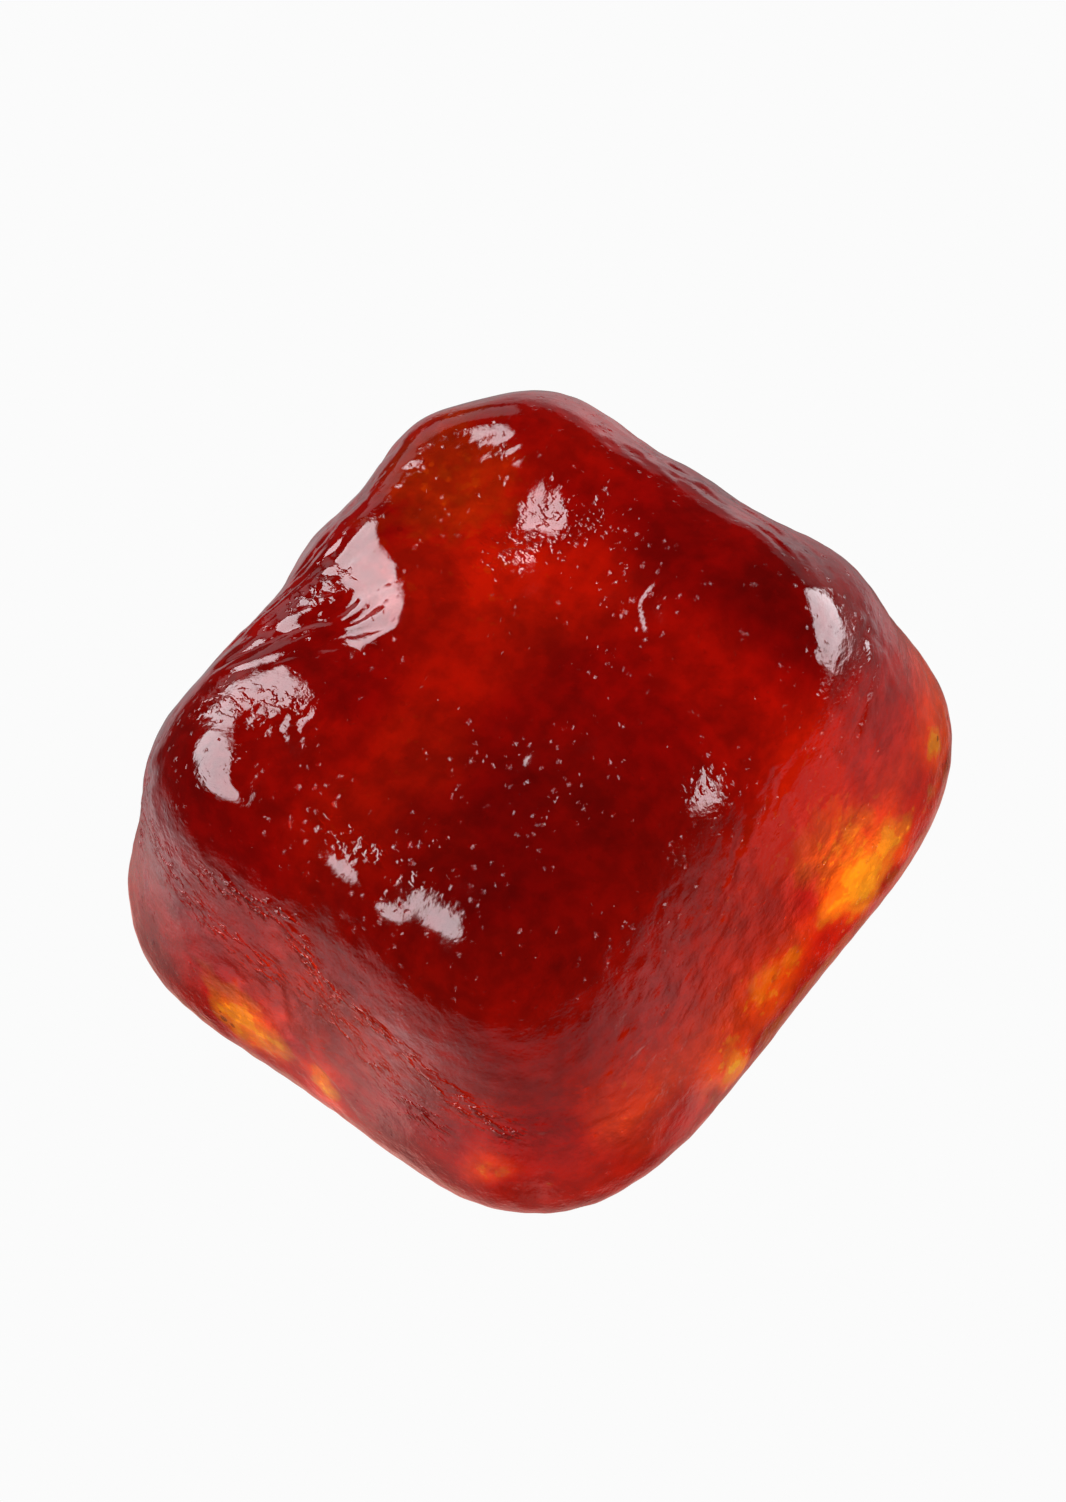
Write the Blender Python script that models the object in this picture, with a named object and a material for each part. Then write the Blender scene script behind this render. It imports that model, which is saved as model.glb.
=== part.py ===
"""Gummy supplement: one soft cube of fruit jelly, poured in a mould and standing on its wide foot.

The body is a rounded, tapered block. It starts as a primitive cube cut into an even grid, and a
form function carries each grid point to its place: a superellipse in plan and in profile gives the
soft square block, a taper sets the small top over the wide foot, a waist draws in the middle of
each side so that four lobes stay at the corners, the top sinks between its four knobs, and named
swellings and hollows give the sides and the top the uneven relief of a moulded jelly. The
underside is cut off flat.

Units are metres, +Z is up, and the origin is the centre of the bounding box's underside.
"""
import math
from collections import namedtuple

import bmesh
import bpy
from mathutils import Matrix, Vector

MM = 0.001

# Driving dimensions of the block, before its edges are rounded
FOOT_LENGTH = 21.0 * MM          # along Y, at the underside
FOOT_WIDTH = 19.1 * MM           # along X
TOP_LENGTH = 15.2 * MM           # along Y, at the top
TOP_WIDTH = 13.0 * MM            # along X
BODY_HEIGHT = 11.4 * MM          # underside to the level of the top, before its relief
SETTLED_DEPTH = 0.25 * MM        # what the flat underside takes off the rounded block
LEAN = Vector((0.2, -0.15)) * MM     # how far the top's centre stands off the foot's
TOP_HOLLOW = 0.8 * MM            # depth of the sunken middle of the top
KNOB_RISE = 0.35 * MM            # height of the knob on each of the four lobes
KNOB_REACH = 2.4 * MM            # how far from its centre a knob has faded to a third
KNOB_PLACE = 0.62                # share of the top's half size at which the knobs stand

# Roundness: a power of 2 is a circle, and higher powers come nearer to a square
PLAN_POWER = 3.5                 # corners seen from above
CROWN_POWER = 4.3                # rim between the sides and the top
FOOT_POWER = 5.3                 # edge between the sides and the underside
TOP_WAIST = 0.08                 # share by which the middle of a side draws in at the top
FOOT_WAIST = 0.03                # the same at the foot

# Swellings (push over 0) and hollows (push under 0) of the sides, each one a soft bump: the
# bearing is counted in degrees from +X towards +Y, and at its reach a push has faded to a third
SideRelief = namedtuple("SideRelief", "bearing height push reach")
SIDE_RELIEF = (
    SideRelief(174, 8.0 * MM, 0.39 * MM, 1.7 * MM),      # bulge in the middle of the -X side
    SideRelief(145, 9.3 * MM, 0.30 * MM, 1.8 * MM),      # near shoulder of the back lobe
    SideRelief(132, 9.1 * MM, -0.26 * MM, 1.7 * MM),     # dent between its shoulders
    SideRelief(120, 9.0 * MM, 0.11 * MM, 1.8 * MM),      # far shoulder of the back lobe
    SideRelief(88, 9.0 * MM, 0.26 * MM, 1.6 * MM),       # fold in the middle of the +Y side
    SideRelief(60, 7.9 * MM, 0.30 * MM, 1.8 * MM),       # swell of the right lobe
    SideRelief(49, 6.6 * MM, 0.09 * MM, 1.8 * MM),       # lower part of that swell
    SideRelief(-137, 8.8 * MM, 0.29 * MM, 1.7 * MM),     # brow of the left lobe
)

# Swellings and hollows of the top, at x and y from the foot's centre
TopRelief = namedtuple("TopRelief", "x y push reach")
TOP_RELIEF = (
    TopRelief(5.3 * MM, -6.4 * MM, 0.52 * MM, 1.8 * MM),     # crest of the front lobe
    TopRelief(6.3 * MM, -0.4 * MM, 0.26 * MM, 1.7 * MM),     # rim in the middle of the +X side
    TopRelief(2.1 * MM, -7.8 * MM, 0.25 * MM, 1.8 * MM),     # rim in the middle of the -Y side
    TopRelief(0.5 * MM, 0.2 * MM, 0.22 * MM, 1.8 * MM),      # low dome in the sunken middle
    TopRelief(-4.2 * MM, -1.2 * MM, -0.37 * MM, 1.7 * MM),   # fold behind the left lobe
    TopRelief(-4.2 * MM, -4.6 * MM, -0.34 * MM, 1.8 * MM),   # flattening of the left lobe
    TopRelief(-3.6 * MM, 3.7 * MM, -0.54 * MM, 1.8 * MM),    # hollow before the back lobe
    TopRelief(-1.6 * MM, 2.8 * MM, -0.17 * MM, 1.8 * MM),    # its shallow end
    TopRelief(5.0 * MM, -3.0 * MM, -0.20 * MM, 1.8 * MM),    # dip behind the front lobe
    TopRelief(3.6 * MM, 3.4 * MM, -0.17 * MM, 1.8 * MM),     # dip before the right lobe
)

GRID_STEPS = 26                  # faces along each edge of the starting cube
BEARING_RADIUS = 9.0 * MM        # turns a side relief's angle into a distance along the side
SLIVER = 0.2 * MM                # points closer than this at the cut are merged


def form_point(a, b, c):
    """Place of the point (a, b, c) of a cube that runs from -1 to 1, on the gummy's surface."""
    rho = (abs(a) ** PLAN_POWER + abs(b) ** PLAN_POWER) ** (1 / PLAN_POWER)
    power = CROWN_POWER if c > 0 else FOOT_POWER
    size = (rho ** power + abs(c) ** power) ** (1 / power)
    outwards = rho / size        # 0 over the middle, 1 half way up the side
    level = c / size             # -1 underneath, 1 on top
    rise = (level + 1) / 2

    squareness = (1 + math.cos(4 * math.atan2(b, a))) / 2
    waist = (FOOT_WAIST * (1 - rise) + TOP_WAIST * rise) * squareness
    drawn_in = 1 - waist * outwards ** 2
    half_width = (FOOT_WIDTH * (1 - rise) + TOP_WIDTH * rise) / 2
    half_length = (FOOT_LENGTH * (1 - rise) + TOP_LENGTH * rise) / 2
    x = a / size * half_width * drawn_in + LEAN.x * rise
    y = b / size * half_length * drawn_in + LEAN.y * rise
    z = rise * (BODY_HEIGHT + SETTLED_DEPTH) - SETTLED_DEPTH

    radius = math.hypot(x, y)
    if radius > 0:
        swell = 1 + side_push(math.atan2(y, x), z) * min(outwards, 1) ** 2 / radius
        x *= swell
        y *= swell
    return Vector((x, y, z + top_lift(x, y, outwards) * max(level, 0) ** 2))


def side_push(bearing, height):
    """How far the side's relief pushes a point outwards."""
    push = 0.0
    for relief in SIDE_RELIEF:
        turn = math.remainder(bearing - math.radians(relief.bearing), math.tau)
        distance = math.hypot(turn * BEARING_RADIUS, height - relief.height)
        push += relief.push * math.exp(-(distance / relief.reach) ** 2)
    return push


def top_lift(x, y, outwards):
    """How far the top's hollow, its knobs and its relief lift a point."""
    lift = -TOP_HOLLOW * max(1 - outwards ** 2, 0) ** 1.5
    for side_x in (-1, 1):
        for side_y in (-1, 1):
            knob_x = LEAN.x + side_x * KNOB_PLACE * TOP_WIDTH / 2
            knob_y = LEAN.y + side_y * KNOB_PLACE * TOP_LENGTH / 2
            distance = math.hypot(x - knob_x, y - knob_y)
            lift += KNOB_RISE * math.exp(-(distance / KNOB_REACH) ** 2)
    for relief in TOP_RELIEF:
        distance = math.hypot(x - relief.x, y - relief.y)
        lift += relief.push * math.exp(-(distance / relief.reach) ** 2)
    return lift


def even_out(u):
    """Spreads the grid of the cube so that its faces come out even on the rounded block."""
    return math.tan(u * math.pi / 4)


def jelly_mesh():
    """The gummy's closed mesh, standing on z = 0 and centred there."""
    bm = bmesh.new()
    bmesh.ops.create_cube(bm, size=2.0)
    bmesh.ops.subdivide_edges(bm, edges=bm.edges[:], cuts=GRID_STEPS - 1, use_grid_fill=True)
    for vert in bm.verts:
        vert.co = form_point(*(even_out(u) for u in vert.co))
    cut_flat(bm)
    centre = Vector((middle(bm, 0), middle(bm, 1), 0))
    bmesh.ops.transform(bm, matrix=Matrix.Translation(-centre), verts=bm.verts[:])
    bmesh.ops.recalc_face_normals(bm, faces=bm.faces[:])
    mesh = bpy.data.meshes.new("gummy")
    bm.to_mesh(mesh)
    bm.free()
    mesh.shade_smooth()
    mesh.set_sharp_from_angle(angle=math.radians(50))
    return mesh


def cut_flat(bm):
    """Takes off what lies below z = 0 and closes the cut with one flat face."""
    bmesh.ops.bisect_plane(bm, geom=bm.verts[:] + bm.edges[:] + bm.faces[:], dist=1e-6,
                           plane_co=(0, 0, 0), plane_no=(0, 0, 1), clear_inner=True)
    low = [vert for vert in bm.verts if vert.co.z < SLIVER]
    bmesh.ops.remove_doubles(bm, verts=low, dist=SLIVER)
    rim = [edge for edge in bm.edges if edge.is_boundary]
    for edge in rim:
        for vert in edge.verts:
            vert.co.z = 0.0
    bmesh.ops.contextual_create(bm, geom=rim)


def middle(bm, axis):
    """Half way between the mesh's lowest and highest point along an axis."""
    places = [vert.co[axis] for vert in bm.verts]
    return (min(places) + max(places)) / 2


def jelly_material():
    """Deep red fruit jelly with a wet, glossy skin."""
    material = bpy.data.materials.new("red_jelly")
    material.use_nodes = True
    shader = material.node_tree.nodes["Principled BSDF"]
    shader.inputs["Base Color"].default_value = (0.33, 0.012, 0.006, 1.0)
    shader.inputs["Roughness"].default_value = 0.12
    shader.inputs["Metallic"].default_value = 0.0
    shader.inputs["IOR"].default_value = 1.45
    return material


def main():
    for old in list(bpy.data.objects):
        bpy.data.objects.remove(old, do_unlink=True)
    collection = bpy.data.collections.new("gummy_supplement")
    bpy.context.scene.collection.children.link(collection)
    mesh = jelly_mesh()
    mesh.materials.append(jelly_material())
    collection.objects.link(bpy.data.objects.new("gummy", mesh))


main()
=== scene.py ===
# %% [markdown]
# # A gummy supplement
#
# One soft cube of clear red fruit jelly stands on a white table. What makes it look like jelly
# is light that goes through it: the middle is thick and deep red, the thin foot glows orange and
# yellow, and the wet skin mirrors the studio lamps on every little bump. So the work goes into
# three things: an uneven skin modelled in the mesh, a material that absorbs light by depth and
# has much of its light and shade painted into its colour, and lamps that stand where the bright
# patches on the skin ask for them.

# %% The frame
import math

import bmesh
import bpy
import numpy as np
from mathutils import Matrix, Vector, noise


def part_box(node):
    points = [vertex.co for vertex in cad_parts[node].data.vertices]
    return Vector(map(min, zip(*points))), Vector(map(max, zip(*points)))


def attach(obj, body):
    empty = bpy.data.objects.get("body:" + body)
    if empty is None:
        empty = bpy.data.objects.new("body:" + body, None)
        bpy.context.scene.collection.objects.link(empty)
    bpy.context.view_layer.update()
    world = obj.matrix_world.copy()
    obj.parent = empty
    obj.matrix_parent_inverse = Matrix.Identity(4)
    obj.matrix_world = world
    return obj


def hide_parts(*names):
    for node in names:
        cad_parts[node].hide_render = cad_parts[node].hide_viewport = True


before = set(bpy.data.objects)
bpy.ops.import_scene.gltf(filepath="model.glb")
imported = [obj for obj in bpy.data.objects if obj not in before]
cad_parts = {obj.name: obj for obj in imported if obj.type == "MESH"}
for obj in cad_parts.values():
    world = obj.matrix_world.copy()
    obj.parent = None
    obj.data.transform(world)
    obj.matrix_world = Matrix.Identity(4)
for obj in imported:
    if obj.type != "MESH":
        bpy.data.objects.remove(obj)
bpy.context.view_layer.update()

MM = 0.001
low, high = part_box("gummy")
print("gummy box in mm:", [round(v / MM, 2) for v in (*low, *high)])

# %% [markdown]
# ## Camera
#
# The gummy is seen from high above one corner, close by, with a long lens, so that its sides
# nearly keep parallel. The camera is also turned a little about its own axis. The place could be
# found by eye, but a camera that is given by an aim, two angles, a distance and a roll is easier
# to set right and to read.

# %% Camera
CAMERA_AZIMUTH = math.radians(52.8)
CAMERA_ELEVATION = math.radians(63.2)
CAMERA_ROLL = math.radians(-16.1)
CAMERA_DISTANCE = 146.2 * MM
CAMERA_AIM = Vector((0.33, 0.13, 5.88)) * MM
CAMERA_LENS, SENSOR_WIDTH = 139.2, 36.0
NEAREST, FARTHEST = 0.01, 20.0


def direction(azimuth, elevation):
    """Unit vector from the gummy towards an azimuth (0 is -Y, counted towards +X) and a height."""
    flat = math.cos(elevation)
    return Vector((math.sin(azimuth) * flat, -math.cos(azimuth) * flat, math.sin(elevation)))


def place_in_scene(name, data):
    """Makes an object of a camera or a mesh and adds it to the scene."""
    thing = bpy.data.objects.new(name, data)
    bpy.context.scene.collection.objects.link(thing)
    return thing


camera_data = bpy.data.cameras.new("camera")
camera_data.lens = CAMERA_LENS
camera_data.sensor_width = SENSOR_WIDTH
camera_data.clip_start = NEAREST
camera_data.clip_end = FARTHEST
camera = place_in_scene("camera", camera_data)
backwards = direction(CAMERA_AZIMUTH, CAMERA_ELEVATION)
rightwards = Vector((math.cos(CAMERA_AZIMUTH), math.sin(CAMERA_AZIMUTH), 0.0))
upwards = backwards.cross(rightwards)
turned = Matrix((rightwards, upwards, backwards)).transposed()
camera.matrix_world = (Matrix.Translation(CAMERA_AIM + backwards * CAMERA_DISTANCE)
                       @ turned.to_4x4() @ Matrix.Rotation(CAMERA_ROLL, 4, "Z"))
bpy.context.scene.camera = camera
print("camera stands at (mm):", [round(v / MM, 1) for v in camera.matrix_world.translation])

# %% [markdown]
# ## The block
#
# A moulded gummy is a tapered block with every edge rounded. It could be a cube with bevels, but
# bevels leave flat faces between them, and jelly has none. A superellipse, which lies between an
# ellipse and a square, curves everywhere. One is used for the plan and one for the profile. The
# sizes repeat those of the CAD solid, so the skin lies where the solid does.

# %% Sizes of the block
FOOT_LENGTH, FOOT_WIDTH = 21.0 * MM, 19.1 * MM
TOP_LENGTH, TOP_WIDTH = 15.2 * MM, 13.0 * MM
BODY_HEIGHT = 11.4 * MM
SETTLED_DEPTH = 0.25 * MM
LEAN = Vector((0.2, -0.15)) * MM
TOP_HOLLOW, HOLLOW_POWER = 0.8 * MM, 1.5
KNOB_RISE, KNOB_REACH, KNOB_PLACE = 0.35 * MM, 2.4 * MM, 0.62
PLAN_POWER, CROWN_POWER, FOOT_POWER = 3.5, 4.3, 5.3
TOP_WAIST, FOOT_WAIST = 0.08, 0.03
BEARING_RADIUS = 9.0 * MM
print("foot of the block, mm:", round(FOOT_WIDTH / MM, 1), "by", round(FOOT_LENGTH / MM, 1))

# %% [markdown]
# ## Swellings and hollows
#
# No gummy is quite even. Low swellings and hollows shape its four lobes, its round rim and its
# sunken top. They could be sculpted by hand, but a table of places, each with a push and a reach,
# gives the same shape every time and is easy to change.

# %% Relief of the sides and the top
# bearing in degrees from +X towards +Y, height, push and reach in mm
SIDE_RELIEF = (
    (174, 8.0, 0.39, 1.7),  # bulge in the middle of the -X side
    (145, 9.3, 0.30, 1.8),  # near shoulder of the back lobe
    (132, 9.1, -0.26, 1.7),  # dent between its shoulders
    (120, 9.0, 0.11, 1.8),  # far shoulder of the back lobe
    (88, 9.0, 0.26, 1.6),  # fold in the middle of the +Y side
    (60, 7.9, 0.30, 1.8),  # swell of the right lobe
    (49, 6.6, 0.09, 1.8),  # lower part of that swell
    (-137, 8.8, 0.29, 1.7),  # brow of the left lobe
)
# x, y, push and reach in mm
TOP_RELIEF = (
    (5.3, -6.4, 0.52, 1.8),  # crest of the front lobe
    (6.3, -0.4, 0.26, 1.7),  # rim in the middle of the +X side
    (2.1, -7.8, 0.25, 1.8),  # rim in the middle of the -Y side
    (0.5, 0.2, 0.22, 1.8),  # low dome in the sunken middle
    (-4.2, -1.2, -0.37, 1.7),  # fold behind the left lobe
    (-4.2, -4.6, -0.34, 1.8),  # flattening of the left lobe
    (-3.6, 3.7, -0.54, 1.8),  # hollow before the back lobe
    (-1.6, 2.8, -0.17, 1.8),  # its shallow end
    (5.0, -3.0, -0.20, 1.8),  # dip behind the front lobe
    (3.6, 3.4, -0.17, 1.8),  # dip before the right lobe
)
print("places in the relief:", len(SIDE_RELIEF + TOP_RELIEF))

# %% Finer relief of the top
# x, y, push and reach in mm
FINE_RELIEF = (
    (-5.0, 0.1, -0.19, 0.8),  # fold outside the middle lobe
    (-2.8, -0.2, 0.39, 1.1),  # inner slope of the middle lobe
    (-3.6, -0.3, -0.16, 0.9),  # dip on its crest
    (-3.0, -4.4, -0.24, 1.3),  # dip in the left lobe
    (-2.7, -3.5, 0.32, 1.4),  # its inner swelling
    (-4.4, -7.1, 0.50, 1.5),  # its outer swelling
    (-2.6, -6.3, 0.21, 1.2),  # its end towards the front
    (-2.4, 4.0, -0.21, 1.3),  # dip in the back lobe
    (-0.4, 2.7, 0.11, 0.8),  # its inner swelling
    (-4.3, 4.3, -0.20, 1.0),  # outer dip of the back lobe
    (-5.6, 3.3, -0.17, 1.4),  # slope beside it
    (1.8, -6.1, -0.26, 1.1),  # dip in the rim of the -Y side
    (3.3, -7.1, -0.29, 0.8),  # dip before the front lobe
    (5.3, 5.6, 0.30, 1.4),  # crest of the right lobe
    (6.2, 5.9, 0.36, 1.2),  # its outer slope
    (6.6, 1.2, -0.56, 1.1),  # dip in the rim of the +X side
    (6.4, 2.6, -0.54, 1.8),  # its long end towards the right lobe
    (-0.9, -0.8, 0.19, 1.4),  # rise in the middle
    (3.2, 2.9, 0.14, 1.2),  # rise before the right lobe
    (4.1, -4.5, -0.13, 1.2),  # dip behind the front lobe
    (-5.6, -2.8, -0.21, 1.1),  # fold between the left and the middle lobe
    (-4.1, 2.1, -0.24, 1.1),  # fold between the middle and the back lobe
    (1.4, -5.3, 0.15, 1.4),  # rise inside the -Y rim
    (3.0, -4.7, -0.19, 1.3),  # dip inside the -Y rim
    (0.9, -6.6, 0.20, 0.9),  # rise on the -Y rim
    (-0.9, -6.3, 0.08, 0.8),  # its outer end
    (0.6, -5.6, -0.07, 0.8),  # hollow inside it
    (2.5, -6.9, 0.06, 0.8),  # its end towards the front lobe
    (4.0, -7.1, -0.05, 0.7),  # dip beside the front lobe
    (-0.7, 4.9, -0.09, 0.8),  # outer slope of the back lobe's dip
    (-2.2, 3.7, -0.07, 0.8),  # deepest part of that dip
    (-1.2, 2.9, 0.06, 0.6),  # its inner lip
    (-1.8, 2.8, -0.05, 0.6),  # small waves around it
    (-1.8, 3.4, -0.03, 0.6),
    (-1.2, 2.2, 0.05, 0.6),
    (-1.2, 4.0, 0.03, 0.6),
    (-0.6, 4.6, -0.03, 0.6),
    (0.0, 3.4, 0.04, 0.6),
    (1.5, -7.0, -0.06, 0.9),  # small waves on the -Y rim
    (1.5, -6.2, -0.03, 0.9),
    (-0.1, -6.6, -0.03, 0.9),
    (2.3, -7.0, 0.02, 0.9),
    (3.1, -5.4, -0.04, 0.9),
    (3.9, -7.0, -0.03, 0.9),
)
print("places in the finer relief:", len(FINE_RELIEF))

# %% [markdown]
# ## Form of the block
#
# The block is a cube whose points are carried to new places: first by the superellipse, then by
# the taper and the waist of its sides, and at last by the swellings and hollows. A formula on all
# points at once is quick, and every push fades softly with the distance, so that no step shows.

# %% Form of the block
NEAR_AXIS = 0.01 * MM


def soft_bump(distance, reach):
    """1 at the centre of a bump, and about a third where the distance is its reach."""
    return np.exp(-(distance / reach) ** 2)


def form(points):
    """Carries points of a cube that runs from -1 to 1 to their places on the block."""
    a, b, c = points.T
    # the superellipse
    rho = (np.abs(a) ** PLAN_POWER + np.abs(b) ** PLAN_POWER) ** (1 / PLAN_POWER)
    power = np.where(c > 0, CROWN_POWER, FOOT_POWER)
    size = (rho ** power + np.abs(c) ** power) ** (1 / power)
    outwards = rho / size
    level = c / size
    rise = (level + 1) / 2
    # the taper and the waist
    squareness = (1 + np.cos(4 * np.arctan2(b, a))) / 2
    waist = (FOOT_WAIST * (1 - rise) + TOP_WAIST * rise) * squareness
    drawn_in = 1 - waist * outwards ** 2
    x = a / size * (FOOT_WIDTH * (1 - rise) + TOP_WIDTH * rise) / 2 * drawn_in + LEAN.x * rise
    y = b / size * (FOOT_LENGTH * (1 - rise) + TOP_LENGTH * rise) / 2 * drawn_in + LEAN.y * rise
    z = rise * (BODY_HEIGHT + SETTLED_DEPTH) - SETTLED_DEPTH

    # the swellings and hollows
    swell = side_push(np.arctan2(y, x), z) * np.clip(outwards, 0, 1) ** 2
    swell = 1 + swell / np.maximum(np.hypot(x, y), NEAR_AXIS)
    x, y = x * swell, y * swell
    z = z + top_lift(x, y, outwards) * np.clip(level, 0, 1) ** 2
    return np.stack((x, y, z), axis=1)


def side_push(bearing, height):
    """How far the relief of the sides pushes each point outwards."""
    push = np.zeros_like(height)
    for degrees, middle, amount, reach in SIDE_RELIEF:
        turn = (bearing - math.radians(degrees) + math.pi) % math.tau - math.pi
        distance = np.hypot(turn * BEARING_RADIUS, height - middle * MM)
        push += amount * MM * soft_bump(distance, reach * MM)
    return push


def top_lift(x, y, outwards):
    """How far the hollow, the knobs and the relief of the top lift each point."""
    lift = -TOP_HOLLOW * np.clip(1 - outwards ** 2, 0, 1) ** HOLLOW_POWER
    for side_x in (-1, 1):
        for side_y in (-1, 1):
            distance = np.hypot(x - LEAN.x - side_x * KNOB_PLACE * TOP_WIDTH / 2,
                                y - LEAN.y - side_y * KNOB_PLACE * TOP_LENGTH / 2)
            lift += KNOB_RISE * soft_bump(distance, KNOB_REACH)
    for place_x, place_y, amount, reach in TOP_RELIEF + FINE_RELIEF:
        distance = np.hypot(x - place_x * MM, y - place_y * MM)
        lift += amount * MM * soft_bump(distance, reach * MM)
    return lift


print("the middle of the top lies at (mm):", np.round(form(np.array([[0, 0, 1.0]]))[0] / MM, 2))

# %% [markdown]
# ## Points as arrays
#
# A loop in Python over more than ninety thousand points is slow. Blender can also hand over all
# points of a mesh at once, so these helpers copy them into an array and back.

# %% Points of a mesh as an array
def get_points(mesh):
    """The mesh's points as rows of x, y and z."""
    flat = np.empty(len(mesh.vertices) * 3)
    mesh.vertices.foreach_get("co", flat)
    return flat.reshape(-1, 3)


def set_points(mesh, points):
    """Moves the mesh's points to the given rows."""
    mesh.vertices.foreach_set("co", points.ravel())
    mesh.update()


def get_normals(mesh):
    """The mesh's smooth normals, one row for each point."""
    flat = np.empty(len(mesh.vertices) * 3)
    mesh.vertex_normals.foreach_get("vector", flat)
    return flat.reshape(-1, 3)


def write_mesh(bm, mesh):
    """Writes a bmesh into a mesh and frees it."""
    bm.to_mesh(mesh)
    bm.free()
    return mesh


# %% [markdown]
# ## The block's mesh
#
# The skin needs small even faces everywhere. A UV sphere crowds them at its poles, so the start is
# a cube with a fine grid on each side, and a tangent spreads the grid evenly over the round form.
# What would reach below the table is cut off, and one flat face closes the hole.

# %% The block's mesh
GRID_STEPS = 132
SLIVER = 0.03 * MM
CUT_TOLERANCE = 1e-7


def block_mesh(name):
    """A fine cube grid, carried to the block's form and cut flat underneath."""
    bm = bmesh.new()
    bmesh.ops.create_cube(bm, size=2.0)
    bmesh.ops.subdivide_edges(bm, edges=bm.edges[:], cuts=GRID_STEPS - 1, use_grid_fill=True)
    mesh = write_mesh(bm, bpy.data.meshes.new(name))
    set_points(mesh, form(np.tan(get_points(mesh) * math.pi / 4)))

    # what lies below the table is cut off, slivers are merged and the hole is closed
    bm = bmesh.new()
    bm.from_mesh(mesh)
    bmesh.ops.bisect_plane(bm, geom=bm.verts[:] + bm.edges[:] + bm.faces[:], dist=CUT_TOLERANCE,
                           plane_co=(0, 0, 0), plane_no=(0, 0, 1), clear_inner=True)
    low_points = [vert for vert in bm.verts if vert.co.z < SLIVER]
    bmesh.ops.remove_doubles(bm, verts=low_points, dist=SLIVER)
    rim = [edge for edge in bm.edges if edge.is_boundary]
    for edge in rim:
        for vert in edge.verts:
            vert.co.z = 0.0
    bmesh.ops.contextual_create(bm, geom=rim)
    bmesh.ops.recalc_face_normals(bm, faces=bm.faces[:])
    write_mesh(bm, mesh)
    # the block is centred
    points = get_points(mesh)
    middle = (points.min(axis=0) + points.max(axis=0)) / 2
    set_points(mesh, points - [middle[0], middle[1], 0.0])
    return mesh


jelly_mesh = block_mesh("jelly")
print("block:", len(jelly_mesh.vertices), "points,", len(jelly_mesh.polygons), "faces")

# %% [markdown]
# ## The skin
#
# The skin of a gummy is never smooth: it dries unevenly, it sticks to its neighbours in the jar and
# it is pulled from its mould while soft. So it has long soft waves, bundles of fine wrinkles where
# it was squeezed, crumpled spots, sharp creases and small pits. All of that could be drawn with a
# bump map, but a bump doesn't bend the light inside the jelly in the same way and is flat at the
# edge, so nearly all that is wider than a quarter of a millimetre is moved in the mesh itself,
# along the mesh's own normals.

# %% Noise at every point
RIDGE_GAIN, RIDGE_MIDDLE = 2.5, 0.5


def noise_at(points, size, shift=0.0):
    """Blender's smooth noise at each point, with swellings about as wide as size."""
    return np.array([noise.noise(row) for row in (points / size + shift).tolist()])


def ridges_at(points, size, shift=0.0):
    """Noise that is folded at its zero line, which leaves sharp valleys: 0 there, 1 between."""
    return np.minimum(np.abs(noise_at(points, size, shift)) * RIDGE_GAIN, 1.0)


def sway_at(points, size, seeds):
    """Three noises for each point, which can shift it in x, y and z."""
    return np.stack([noise_at(points, size, seed) for seed in seeds], axis=1)


def push_out(mesh, amount):
    """Moves each point of a mesh along its own normal."""
    set_points(mesh, get_points(mesh) + get_normals(mesh) * amount[:, None])


def print_span(name, amount):
    """Prints the lowest and the highest of some amounts in mm."""
    print(name, "in mm:", round(amount.min() / MM, 3), "to", round(amount.max() / MM, 3))


# %% [markdown]
# ## Waves
#
# Drying leaves long low waves in the skin, and a fine leathery relief on the sides, where the
# mould has held it. One noise alone would look too regular, so three sizes are added up, each
# one lower than the last. They fade out just above the table, where the gummy lies flat.

# %% Waves of the skin
WAVES = (
    # size and height of the waves in mm
    (2.6, 0.050),
    (1.2, 0.020),
    (0.6, 0.008),
)
LEATHER_SIZE, LEATHER_HEIGHT, LEATHER_SEED = 0.45 * MM, 0.022 * MM, 60
BASE_CLEARANCE = 0.8 * MM
# upward part of the normal where the skin turns from a side to the top
SIDE_TO_TOP = (0.32, 0.62)


def above_table(points):
    """0 where the gummy meets the table and 1 from a little above it, so the base stays flat."""
    return np.clip(points[:, 2] / BASE_CLEARANCE, 0, 1)


def soft_step(value, start, end):
    """0 below start, 1 above end, and a soft slope between them."""
    share = np.clip((value - start) / (end - start), 0, 1)
    return share * share * (3 - 2 * share)


def side_share(mesh):
    """1 where the skin faces sideways and 0 where it faces up."""
    return 1 - soft_step(get_normals(mesh)[:, 2], *SIDE_TO_TOP)


points = get_points(jelly_mesh)
waves = sum(height * MM * noise_at(points, size * MM) for size, height in WAVES)
waves += LEATHER_HEIGHT * noise_at(points, LEATHER_SIZE, LEATHER_SEED) * side_share(jelly_mesh)
push_out(jelly_mesh, waves * above_table(points))
print_span("waves of the skin", waves)

# %% [markdown]
# ## Wrinkles
#
# A bundle of wrinkles runs along a line on the skin. Noise becomes a bundle when it is stretched
# along that line, and it stays where it belongs when its height fades with the distance from the
# line. The lines are given by a few points each.

# %% Distance to a line on the skin
def distance_to(points, route):
    """Distance of each point to a route, an open line through a few places in mm."""
    places = np.array(route, dtype=float) * MM
    nearest = np.full(len(points), np.inf)
    for start, end in zip(places[:-1], places[1:]):
        along = end - start
        share = np.clip((points - start) @ along / (along @ along), 0, 1)
        gap = np.linalg.norm(points - start - share[:, None] * along, axis=1)
        nearest = np.minimum(nearest, gap)
    return nearest


def mm_from(points, place, shift=0.0):
    """Distance in mm of each point, moved by a shift, to a place."""
    return np.linalg.norm(points / MM - place + shift, axis=1)


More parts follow.
